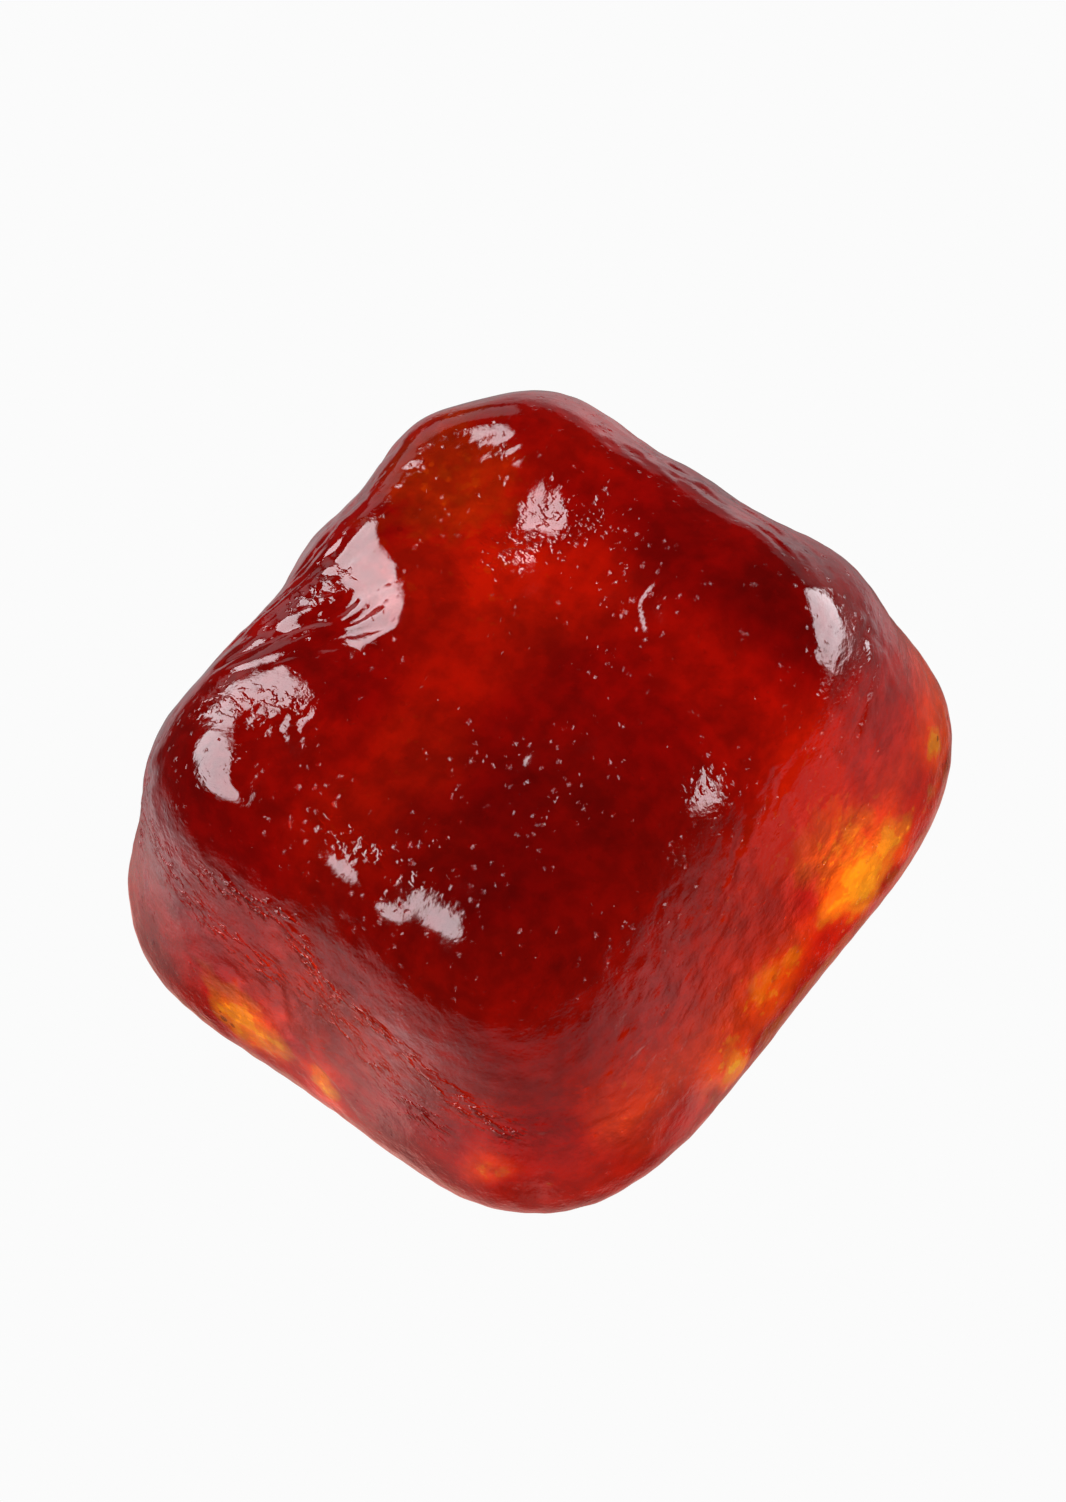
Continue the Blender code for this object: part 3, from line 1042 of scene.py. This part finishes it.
def swayed(tree, place, size, amount, label):
    """The place, moved a little by a noise, which makes round things crooked."""
    crooked = add_node(tree, "TexNoise", label, Vector=place, Scale=1 / size, Detail=2.0)
    shift = crooked.outputs["Color"]
    return vector_math(tree, "MULTIPLY_ADD", shift, (amount,) * 3, place).outputs["Vector"]


def pick_cells(tree, cells, channel, start, end, *results):
    """A value for each cell, from one channel of its random colour."""
    luck = add_node(tree, "SeparateColor", Color=cells.outputs["Color"])
    return map_range(tree, luck.outputs[channel], start, end, *results)


def dents(tree, place, spacing, size, luck_from, luck_to, label):
    """Dents at random places: 0 on the plain skin and 1 in the middle of a dent."""
    crooked = swayed(tree, place, DENT_SWAY_SIZE * spacing, DENT_SWAY * spacing, "sway of " + label)
    cells = add_node(tree, "TexVoronoi", label, Vector=crooked, Scale=1 / spacing, Randomness=1.0)
    depth = map_range(tree, cells.outputs["Distance"], DENT_FLOOR, size, 1.0, 0.0)
    chosen = pick_cells(tree, cells, "Red", luck_from, luck_to)
    return calculate(tree, "MULTIPLY", depth, chosen, label)


# %% [markdown]
# ## Jelly material
#
# Clear jelly lets all light in at the skin and swallows it on its way: red travels far, green a
# little and blue hardly at all. A coloured glass would give the same red in thin and thick places,
# so Volume Absorption takes the light away by depth, and the thick middle turns deep red by
# itself. The colour of the skin then adds what depth alone can't give: dark specks, and painted
# light and shade, which are the amber pools of gathered light, the light and dark parts, the
# darker folds and the gleams of pores and small bubbles.

# %% Juice inside the jelly
# how fast red, green and blue fade on their way, per metre
ABSORPTION = (70.0, 300.0, 1100.0)
# density of the juice, above the fastest of them, so that its colour stays between 0 and 1
THICKENING = 1500.0
JELLY_IOR = 1.45

jelly_material = bpy.data.materials.new("red_jelly")
jelly_material.use_nodes = True
tree = jelly_material.node_tree
shader = tree.nodes["Principled BSDF"]
shader.inputs["IOR"].default_value = JELLY_IOR
shader.inputs["Transmission Weight"].default_value = 1.0
place = object_place(tree)

absorption = add_node(tree, "VolumeAbsorption", "juice", Density=THICKENING,
                      Color=tuple(1 - rate / THICKENING for rate in ABSORPTION))
connect(tree, absorption.outputs["Volume"], tree.nodes["Material Output"].inputs["Volume"])
print("light that is left after 10 mm:", [round(math.exp(-rate * 0.01), 3) for rate in ABSORPTION])

# %% [markdown]
# ## Pores and bubbles
#
# Small open pores catch glints from their dents in the bump, and a warm gleam is painted into the
# colour on the top. They sit in loose clusters, so a wide noise and the value carried by the mesh
# set how strong they are. Bubbles are painted glints inside the amber places.
# In the mesh they would need millions of faces, so they are patterns for colour and bump.

# %% Pores and bubbles
# spacing, size as a share of it, and the luck at which a cell begins to hold a dent, then surely does
PORES = (0.32 * MM, 0.28, 0.50, 0.95)
BUBBLES = (0.34 * MM, 0.36, 0.50, 0.85)
CLUSTER_SIZE, CLUSTER_EDGE, CLUSTER_FEWEST = 1.6 * MM, (0.42, 0.62), 0.25
PORES_EVERYWHERE = 0.38
BUBBLE_AMBER = (0.20, 0.70)

amber_glow_share = read_attribute(tree, "amber_glow")
clusters = noise_value(tree, place, CLUSTER_SIZE, 3.0, "clusters")
clusters = map_range(tree, clusters, *CLUSTER_EDGE, CLUSTER_FEWEST, 1.0)
clusters = multiply(tree, clusters, add(tree, read_attribute(tree, "pored"), PORES_EVERYWHERE))
pores = multiply(tree, dents(tree, place, *PORES, "pores"), clusters)
bubble_glints = multiply(tree, dents(tree, place, *BUBBLES, "bubble_glints"),
                   map_range(tree, amber_glow_share, *BUBBLE_AMBER))
print("cells of the pores and the bubbles, mm:", round(PORES[0] / MM, 2), round(BUBBLES[0] / MM, 2))

# %% [markdown]
# ## Folds of crumpled skin
#
# Crumpled skin has short scattered folds, longer than wide, which are steep enough to catch the
# lamps. There are too many to model one by one. They lie along the crease of the -Y side, which
# slopes down a little towards +X, so a Mapping node turns and stretches the place before the
# noise reads it.

# %% Folds of crumpled skin
FOLD_SIZE, FOLD_STRETCH, FOLD_EDGE = 0.20 * MM, 2.0, (0.49, 0.68)
CREASE_SLOPE = math.radians(19.0)

stretched = add_node(tree, "Mapping", "along the crease", Vector=place,
                     Rotation=(0.0, CREASE_SLOPE, 0.0), Scale=(FOLD_STRETCH, 1.0, 1.0))
stretched.vector_type = "TEXTURE"
folds = noise_value(tree, stretched.outputs["Vector"], FOLD_SIZE, 2.0, "folds")
folds = multiply(tree, map_range(tree, folds, *FOLD_EDGE), read_attribute(tree, "crumpled"))
print("folds, mm:", round(FOLD_SIZE / MM, 2), "wide,", round(FOLD_SIZE * FOLD_STRETCH / MM, 2), "long")

# %% [markdown]
# ## Colour of the skin
#
# The tint goes from deep red over orange to yellow as the warmth grows, and the red is warmer
# where more painted light comes through. Most of the warmth is the amber value, the painted glow
# of gathered light, whose edges a fine noise frays. Flecks warm the parts with more painted light,
# and bubbles and pores add small painted sparks. A picture could hold all this, but noise has no
# seams and no pixels.

# %% Colour of the skin
DEEP_RED = (1.0, 0.001, 0.002)
WARM_RED = (1.0, 0.025, 0.003)
ORANGE_TINT = (1.0, 0.16, 0.04)
YELLOW_TINT = (1.0, 0.46, 0.10)
FRAY_SIZE, FRAY_EDGE, FRAY = 0.55 * MM, (0.30, 0.70), 0.30
FLECK_SIZE, FLECK_EDGE, FLECK_WARMTH = 0.30 * MM, (0.56, 0.70), 0.39
# painted warm sparks of bubbles and pores
BUBBLE_WARMTH, PORE_WARMTH = 0.50, 0.50
# where the painted light through the skin lets flecks appear, dims the amber glow, and warms the red
FLECK_LIGHT, AMBER_LIGHT, RED_LIGHT = (0.45, 0.95), (0.35, 0.90), (0.42, 0.90)
AMBER_IN_SHADE = 0.60
# from where to where the warmth brings in a tint
TO_ORANGE, TO_YELLOW = (0.18, 0.54), (0.66, 1.04)

painted_light_share = read_attribute(tree, "light")
fray = noise_value(tree, place, FRAY_SIZE, 6.0, "fray")
fray = map_range(tree, fray, *FRAY_EDGE, -FRAY, FRAY)
flecks = noise_value(tree, place, FLECK_SIZE, 3.0, "flecks")
flecks = multiply(tree, map_range(tree, flecks, *FLECK_EDGE, 0.0, FLECK_WARMTH),
                  map_range(tree, painted_light_share, *FLECK_LIGHT))
frayed = multiply(tree, amber_glow_share, add(tree, fray, 1.0),
                  map_range(tree, painted_light_share, *AMBER_LIGHT, AMBER_IN_SHADE, 1.0))
warmth = add(tree, frayed, flecks, multiply(tree, bubble_glints, BUBBLE_WARMTH),
             multiply(tree, pores, PORE_WARMTH))
tint = mix_colour(tree, map_range(tree, painted_light_share, *RED_LIGHT), DEEP_RED, WARM_RED)
tint = mix_colour(tree, map_range(tree, warmth, *TO_ORANGE), tint, ORANGE_TINT)
tint = mix_colour(tree, map_range(tree, warmth, *TO_YELLOW), tint, YELLOW_TINT)
print("tints: deep red, warm red, orange from", TO_ORANGE[0], "and yellow from", TO_YELLOW[0])

# %% [markdown]
# ## Light through the skin
#
# The painted light value darkens the tint. Soft clouds and a fine mottling break it up, dark
# specks sit in the amber places, folds get painted shade, and pores and bubbles get painted
# gleams. Light that leaves the jelly has had its colour already, so the inner side of the skin
# is clear: Backfacing tells the two apart.

# %% Light through the skin
CLOUD_SIZE, CLOUDINESS = 2.0 * MM, 0.14
MOTTLING_SIZE, MOTTLING = 0.50 * MM, 0.13
# most of a noise's values lie in this range
NOISE_SPAN = (0.3, 0.7)
# the luck of a cell from which it holds a speck, and the radius of the largest speck
SPECK_SPACING, SPECK_LUCK, SPECK_RADIUS = 0.55 * MM, (0.70, 1.00), 0.22
SPECK_AMBER, SPECK_SHADE = (0.2, 0.7), (0.10, 0.50)
# painted gleams of pores and bubbles, and the share of painted shade in the folds
PORE_GLEAM, BUBBLE_GLEAM, FOLD_SHADE = 0.6, 0.45, 0.42
CLEAR = (1.0, 1.0, 1.0)


def unevenness(tree, place, size, amount, label):
    """A noise around 1 that makes a value higher and lower by an amount."""
    value = noise_value(tree, place, size, 5.0, label)
    return map_range(tree, value, *NOISE_SPAN, 1 - amount, 1 + amount)


def without(tree, share):
    """What is left of 1 when a share is taken away."""
    return calculate(tree, "SUBTRACT", 1.0, share)


cells = add_node(tree, "TexVoronoi", "specks", Vector=place, Scale=1 / SPECK_SPACING, Randomness=1.0)
speck_size = pick_cells(tree, cells, "Green", *SPECK_LUCK, 0.0, SPECK_RADIUS)
specks = calculate(tree, "LESS_THAN", cells.outputs["Distance"], speck_size, "dark specks")
specks = multiply(tree, specks, map_range(tree, amber_glow_share, *SPECK_AMBER, *SPECK_SHADE))
painted_gleams = add(tree, multiply(tree, pores, PORE_GLEAM), 1.0, multiply(tree, bubble_glints, BUBBLE_GLEAM))
# painted light and shade: the light value with clouds, mottling, specks, gleams and shaded folds
through = multiply(tree, painted_light_share,
                   unevenness(tree, place, CLOUD_SIZE, CLOUDINESS, "clouds"),
                   unevenness(tree, place, MOTTLING_SIZE, MOTTLING, "mottling"),
                   without(tree, specks), painted_gleams,
                   without(tree, multiply(tree, folds, FOLD_SHADE)))
# squared, because glass uses the square root of its colour each time that light crosses the skin
through = calculate(tree, "MINIMUM", calculate(tree, "POWER", through, 2.0), 1.0)
shaded = vector_math(tree, "SCALE", tint)
connect(tree, through, shaded.inputs["Scale"])
inner_side = add_node(tree, "NewGeometry").outputs["Backfacing"]
colour = mix_colour(tree, inner_side, shaded.outputs["Vector"], CLEAR)
connect(tree, colour, shader.inputs["Base Color"])
print("nodes for the colour:", len(tree.nodes))

# %% [markdown]
# ## Wet skin
#
# The skin is wet and mirrors the lamps. On the top it is glossy with duller spots, on the sides it
# is duller and leathery, and crumpled skin shines again. Relief that is too small for the mesh
# comes from a chain of bumps, where each one starts from the normal of the one before it.

# %% Wet skin
DULL_SIZE = 0.9 * MM
# where the noise turns dull, and the roughness before and after that
DULL_TOP, DULL_SIDE = (0.40, 0.75, 0.03, 0.12), (0.35, 0.70, 0.07, 0.24)
CRUMPLED_ROUGHNESS = 0.05
GRAIN_SIZE, LEATHER_GRAIN = 0.30 * MM, 0.16 * MM
FINE_PORES = (0.22 * MM, 0.36, 0.55, 1.00)

dullness = noise_value(tree, place, DULL_SIZE, 4.0, "dull spots")
sideways = read_attribute(tree, "sideways")
roughness = mix_value(tree, sideways, map_range(tree, dullness, *DULL_TOP),
                      map_range(tree, dullness, *DULL_SIDE))
roughness = mix_value(tree, read_attribute(tree, "crumpled"), roughness, CRUMPLED_ROUGHNESS)
connect(tree, roughness, shader.inputs["Roughness"])

grain = noise_value(tree, place, GRAIN_SIZE, 4.0, "grain")
leather = multiply(tree, noise_value(tree, place, LEATHER_GRAIN, 3.0, "leather"), sideways)
fine_pores = multiply(tree, dents(tree, place, *FINE_PORES, "fine pores"), clusters)
BUMPS = (
    # pattern, its height in mm, label, and whether it goes inwards
    (grain, 0.010, "grain bump", False),
    (leather, 0.020, "leather bump", False),
    (folds, 0.200, "fold bump", False),
    (pores, 0.066, "pore bump", True),
    (fine_pores, 0.042, "fine pore bump", False),
)
normal = None
for height, raised, label, inwards in BUMPS:
    bump = add_node(tree, "Bump", label, Strength=1.0, Distance=raised * MM, Height=height)
    bump.invert = inwards
    if normal is not None:
        connect(tree, normal, bump.inputs["Normal"])
    normal = bump.outputs["Normal"]
connect(tree, normal, shader.inputs["Normal"])

jelly_mesh.materials.clear()
jelly_mesh.materials.append(jelly_material)
print("nodes in the jelly's material:", len(tree.nodes))

# %% [markdown]
# ## The table
#
# The gummy stands on a white table, but the table isn't evenly bright for it. The light that reaches
# the table under the gummy has gone through the jelly: it is weak and red in the middle, and the
# curved sides gather it into bright pools near the foot. Real light could be traced through the
# jelly, but only with very many samples. So the table shines by itself here, and how bright it is
# depends on the ray that meets it. The table lies about a fifth of a millimetre inside the jelly's
# underside, because jelly that touches a table has no air between them.

# %% The table's mesh
FLOOR_LEVEL = 0.22 * MM
TABLE_RADIUS, TABLE_CORNERS = 3.0, 96

bm = bmesh.new()
bmesh.ops.create_circle(bm, cap_ends=True, segments=TABLE_CORNERS, radius=TABLE_RADIUS)
floor_mesh = write_mesh(bm, bpy.data.meshes.new("table"))
floor_mesh.transform(Matrix.Translation((0, 0, FLOOR_LEVEL)))
floor = place_in_scene("table", floor_mesh)
print("table:", 2 * TABLE_RADIUS, "m across, at a level of", round(FLOOR_LEVEL / MM, 2), "mm")

# %% [markdown]
# ## Pools of light under the gummy
#
# What is seen of the table through the jelly is dim in the middle and brighter towards the foot,
# with a few pools of light. Lamps under a clear table could make them, but soft round spots in
# the material are easier to place and have no grain.

# %% Pools of light under the gummy
CENTRE_LIGHT, EDGE_LIGHT = 0.68, 1.02
CENTRE_PLACE = (0.5, -1.2)
CENTRE_REACH = (0.5 * MM, 8.5 * MM)
SWIRL_SIZE, SWIRLS = 2.2 * MM, (0.8, 1.2)
POOLS = (
    # x, y, reach in mm and brightness that is added
    (5.3, 4.0, 1.6, 0.65),
    (5.4, 2.4, 1.6, 0.55),
    (5.1, -0.3, 0.9, 0.35),
    (-3.6, -6.1, 1.3, 0.60),
    (-0.5, -6.8, 0.9, 0.40),
    (3.8, -6.2, 1.2, 0.20),
    (0.9, 4.7, 1.6, 0.20),
)


def glowing_material(name):
    """A material that only gives light; what it gives is still to be joined to its output."""
    material = bpy.data.materials.new(name)
    material.use_nodes = True
    material.node_tree.nodes.remove(material.node_tree.nodes["Principled BSDF"])
    return material


def distance_from(tree, place, x, y):
    """Distance on the table from a place in mm."""
    return vector_math(tree, "DISTANCE", place, (x * MM, y * MM, FLOOR_LEVEL)).outputs["Value"]


def add_spots(tree, place, value, rows, label):
    """Adds soft round spots to a brightness of the table."""
    for x, y, reach, added in rows:
        spot = map_range(tree, distance_from(tree, place, x, y), 0.0, 2 * reach * MM, added, 0.0)
        value = calculate(tree, "ADD", value, spot, label)
    return value


floor_material = glowing_material("white_table")
tree = floor_material.node_tree
place = object_place(tree)
below = map_range(tree, distance_from(tree, place, *CENTRE_PLACE), *CENTRE_REACH,
                  CENTRE_LIGHT, EDGE_LIGHT)
below = add_spots(tree, place, below, POOLS, "pool")
swirls = noise_value(tree, place, SWIRL_SIZE, 4.0, "swirls")
below = multiply(tree, below, map_range(tree, swirls, *NOISE_SPAN, *SWIRLS))
print("pools of light:", len(POOLS))

# %% [markdown]
# ## The table in the mirror of the skin
#
# The sides of the gummy mirror the table round it. That image is bright at some distance and dims
# towards the foot, where the gummy shades the table and tints it red. A table that shines by
# itself takes no shadow, so the shade is part of its pattern. Spots of sheen, lighter or darker,
# shape it further, because each of them shows at one place on the sides.

# %% The table in the mirror of the skin
MIRROR_LIGHT = 0.30
FOOT_HALF_WIDTH, FOOT_HALF_LENGTH = 8.6 * MM, 9.5 * MM
MIRROR_FOOT, MIRROR_FOOT_LIGHT = (1.0, 1.6), 0.40
FOOT_RIM, FOOT_RIM_LIGHT = (1.02, 1.16), 0.60
FADE_HALF_WIDTH, FADE_HALF_LENGTH = 24.0 * MM, 34.0 * MM
MIRROR_FADE = (0.90, 1.12)
LONG_SIDE = (-0.35, 0.94, 0.0)
LONG_SIDE_EDGE, LONG_SIDE_STRETCH = (0.80, 0.97), 0.20
SHADOW_SIZE, SHADOWS = 4.0 * MM, (0.75, 1.25)
SHEEN = (
    # x, y, reach in mm and brightness in the mirror that is added, or taken away below zero
    (-13.0, -12.0, 5.0, 0.50),
    (-3.0, -17.0, 8.0, 0.40),
    (2.0, -13.0, 4.0, 0.15),
    (-0.8, -12.7, 2.0, 0.42),
    (-5.0, -12.8, 2.0, -0.38),
    (-2.8, -12.7, 1.1, -0.20),
    (-1.4, -13.0, 0.8, -0.25),
    (0.9, -11.4, 0.8, 0.70),
    (-4.5, -10.5, 1.4, -0.20),
    (7.5, -11.5, 1.6, -0.25),
    (8.0, -10.4, 0.7, 0.55),
    (10.1, -4.5, 0.8, 0.55),
    (10.3, -3.2, 0.8, 0.75),
    (14.3, 4.0, 2.2, -0.14),
    (12.0, 2.5, 2.5, -0.12),
    (11.3, 0.0, 1.6, -0.10),
    (11.0, -6.5, 1.8, -0.10),
    (18.0, -1.0, 4.0, 0.25),
    (6.5, 16.0, 3.5, 0.35),
    (-10.0, 30.0, 11.0, 0.80),
    (-22.0, 2.0, 8.0, 0.30),
)


def rounded_square(tree, sides, half_width, half_length, power=4.0):
    """0 in the middle and 1 on a rounded square with the given half sides."""
    parts = []
    for axis, half in (("X", half_width), ("Y", half_length)):
        part = multiply(tree, calculate(tree, "ABSOLUTE", sides.outputs[axis]), 1 / half)
        parts.append(calculate(tree, "POWER", part, power))
    return calculate(tree, "POWER", add(tree, *parts), 1 / power, "rounded square")


sides = add_node(tree, "SeparateXYZ", Vector=place)
# 1 at the foot of the gummy, more away from it
foot_distance = rounded_square(tree, sides, FOOT_HALF_WIDTH, FOOT_HALF_LENGTH)
near_foot = map_range(tree, foot_distance, *MIRROR_FOOT, 1.0, 0.0)

# the bright part of the table is oval, and reaches farther away behind the back corner
bearing = vector_math(tree, "DOT_PRODUCT", place, LONG_SIDE).outputs["Value"]
bearing = calculate(tree, "DIVIDE", bearing, distance_from(tree, place, 0.0, 0.0))
stretch = map_range(tree, bearing, *LONG_SIDE_EDGE, 1.0, LONG_SIDE_STRETCH)
fade_distance = rounded_square(tree, sides, FADE_HALF_WIDTH, FADE_HALF_LENGTH, 2.0)
fade_distance = multiply(tree, fade_distance, stretch)

around = map_range(tree, foot_distance, *MIRROR_FOOT, MIRROR_FOOT_LIGHT, 1.0)
around = multiply(tree, around, MIRROR_LIGHT)
around = add(tree, around, map_range(tree, foot_distance, *FOOT_RIM, FOOT_RIM_LIGHT, 0.0))
around = add_spots(tree, place, around, SHEEN, "sheen")
shadows = noise_value(tree, place, SHADOW_SIZE, 5.0, "shadows")
around = multiply(tree, around, map_range(tree, shadows, *NOISE_SPAN, *SHADOWS),
                  map_range(tree, fade_distance, *MIRROR_FADE, 1.0, 0.0))
print("spots of sheen:", len(SHEEN))

# %% [markdown]
# ## The table for each kind of ray
#
# The camera sees plain white, a ray that has gone through the jelly sees the pools, and a mirrored
# ray sees the sheen. Three tables for three kinds of ray would do the same, but Light Path tells
# the rays apart in one material. Beyond the bright part of the table, a mirrored ray goes on
# through it to the right lamp, most of which hangs below the table's level.

# %% The table for each kind of ray
WHITE = 0.965
MIRROR_TINT = (1.0, 0.965, 1.0)
FOOT_GLOW = (1.0, 0.50, 0.44)
PLAIN = (1.0, 1.0, 1.0)


def through_jelly(tree, light_path):
    """1 for a ray that has gone through the jelly, and 0 for any other."""
    return calculate(tree, "GREATER_THAN", light_path.outputs["Transmission Depth"], 0.5)


light_path = add_node(tree, "LightPath")
through = through_jelly(tree, light_path)
mirrored = calculate(tree, "SUBTRACT", light_path.outputs["Is Glossy Ray"], through, "mirrored")
glow = mix_value(tree, through, around, below)
glow = mix_value(tree, light_path.outputs["Is Camera Ray"], glow, WHITE)
glow_colour = mix_colour(tree, mirrored, PLAIN, MIRROR_TINT)
glow_colour = mix_colour(tree, multiply(tree, near_foot, mirrored), glow_colour, FOOT_GLOW)
emission = add_node(tree, "Emission", "glow", Strength=glow, Color=glow_colour)
gone = multiply(tree, map_range(tree, fade_distance, *MIRROR_FADE), mirrored)
mixed = add_node(tree, "MixShader", Fac=gone)
connect(tree, emission.outputs["Emission"], mixed.inputs[1])
connect(tree, add_node(tree, "BsdfTransparent").outputs["BSDF"], mixed.inputs[2])
connect(tree, mixed.outputs["Shader"], tree.nodes["Material Output"].inputs["Surface"])
floor_mesh.materials.append(floor_material)
print("nodes in the table's material:", len(tree.nodes))

# %% [markdown]
# ## Studio
#
# The backdrop is as white as the table for the camera, but it looks dark to mirrored rays, which
# keeps the red deep between the pale patches on the lobes, and about half as bright to light that
# comes through the jelly. One even brightness for all of them would wash the skin out.

# %% Backdrop
MIRRORED_SKY, SKY_THROUGH_JELLY = 0.03, 0.45

world = bpy.data.worlds.new("studio")
bpy.context.scene.world = world
world.use_nodes = True
tree = world.node_tree
light_path = add_node(tree, "LightPath")
sky = mix_value(tree, through_jelly(tree, light_path), MIRRORED_SKY, SKY_THROUGH_JELLY)
sky = mix_value(tree, light_path.outputs["Is Camera Ray"], sky, WHITE)
connect(tree, sky, tree.nodes["Background"].inputs["Strength"])
connect(tree, PLAIN, tree.nodes["Background"].inputs["Color"])
bpy.context.scene.view_settings.view_transform = "Standard"
print("backdrop: white for the camera,", MIRRORED_SKY, "in the mirror of the skin")

# %% [markdown]
# ## Softboxes
#
# Two large softboxes light the gummy, and a small dim wall fills in from behind. Their mirror
# images are the pale patches on the lobes. Area lamps have hard edges in a mirror, so each softbox
# is a plane of glowing cloth, which is a touch lavender and fades towards its frame. The camera
# and the rays inside the jelly don't see them.

# %% Softboxes
LAMP_DISTANCE = 0.5
LAMP_COLOUR = (1.0, 0.955, 1.0)
# where the light begins and ends to fade, as a share of the way from a lamp's middle to its edge
LAMP_EDGE = (0.90, 1.08)
LAMPS = (
    # name, azimuth and elevation in degrees, width and height in metres and radiance,
    # then the place in mm that the lamp faces, and its roll in degrees
    ("left_lamp", -69.4, 33.7, 0.698, 0.344, 10.5, (0, 0, 10), -3.3),
    ("right_lamp", 147.0, -7.4, 0.55, 0.225, 9.0, (6, 2, 11), -2.2),
    ("pale_wall", -118.0, 4.0, 0.30, 0.22, 0.7, (0, 0, 9), 0.0),
)


def lamp_material(name, radiance, width, height):
    """White cloth lit from behind: full light in the middle, less towards the frame."""
    material = glowing_material(name)
    tree = material.node_tree
    sides = add_node(tree, "SeparateXYZ", Vector=object_place(tree))
    across = rounded_square(tree, sides, width / 2, height / 2)
    emission = add_node(tree, "Emission", "cloth", Color=LAMP_COLOUR,
                        Strength=map_range(tree, across, *LAMP_EDGE, radiance, 0.0))
    connect(tree, emission.outputs["Emission"], tree.nodes["Material Output"].inputs["Surface"])
    return material


def softbox(name, azimuth, elevation, width, height, radiance, aim, roll):
    """A soft lamp that faces a place on the gummy, seen from there at the given angles."""
    bm = bmesh.new()
    bmesh.ops.create_grid(bm, x_segments=1, y_segments=1, size=0.5)
    mesh = write_mesh(bm, bpy.data.meshes.new(name))
    mesh.transform(Matrix.Diagonal((width * LAMP_EDGE[1], height * LAMP_EDGE[1], 1, 1)))
    mesh.materials.append(lamp_material(name, radiance, width, height))
    lamp = place_in_scene(name, mesh)
    towards = direction(math.radians(azimuth), math.radians(elevation))
    lamp.matrix_world = (Matrix.Translation(Vector(aim) * MM + towards * LAMP_DISTANCE)
                         @ towards.to_track_quat("Z", "Y").to_matrix().to_4x4()
                         @ Matrix.Rotation(math.radians(roll), 4, "Z"))
    lamp.visible_camera = False
    lamp.visible_transmission = False
    print(name, "stands at (mm):", [round(v / MM) for v in lamp.matrix_world.translation])


for row in LAMPS:
    softbox(*row)
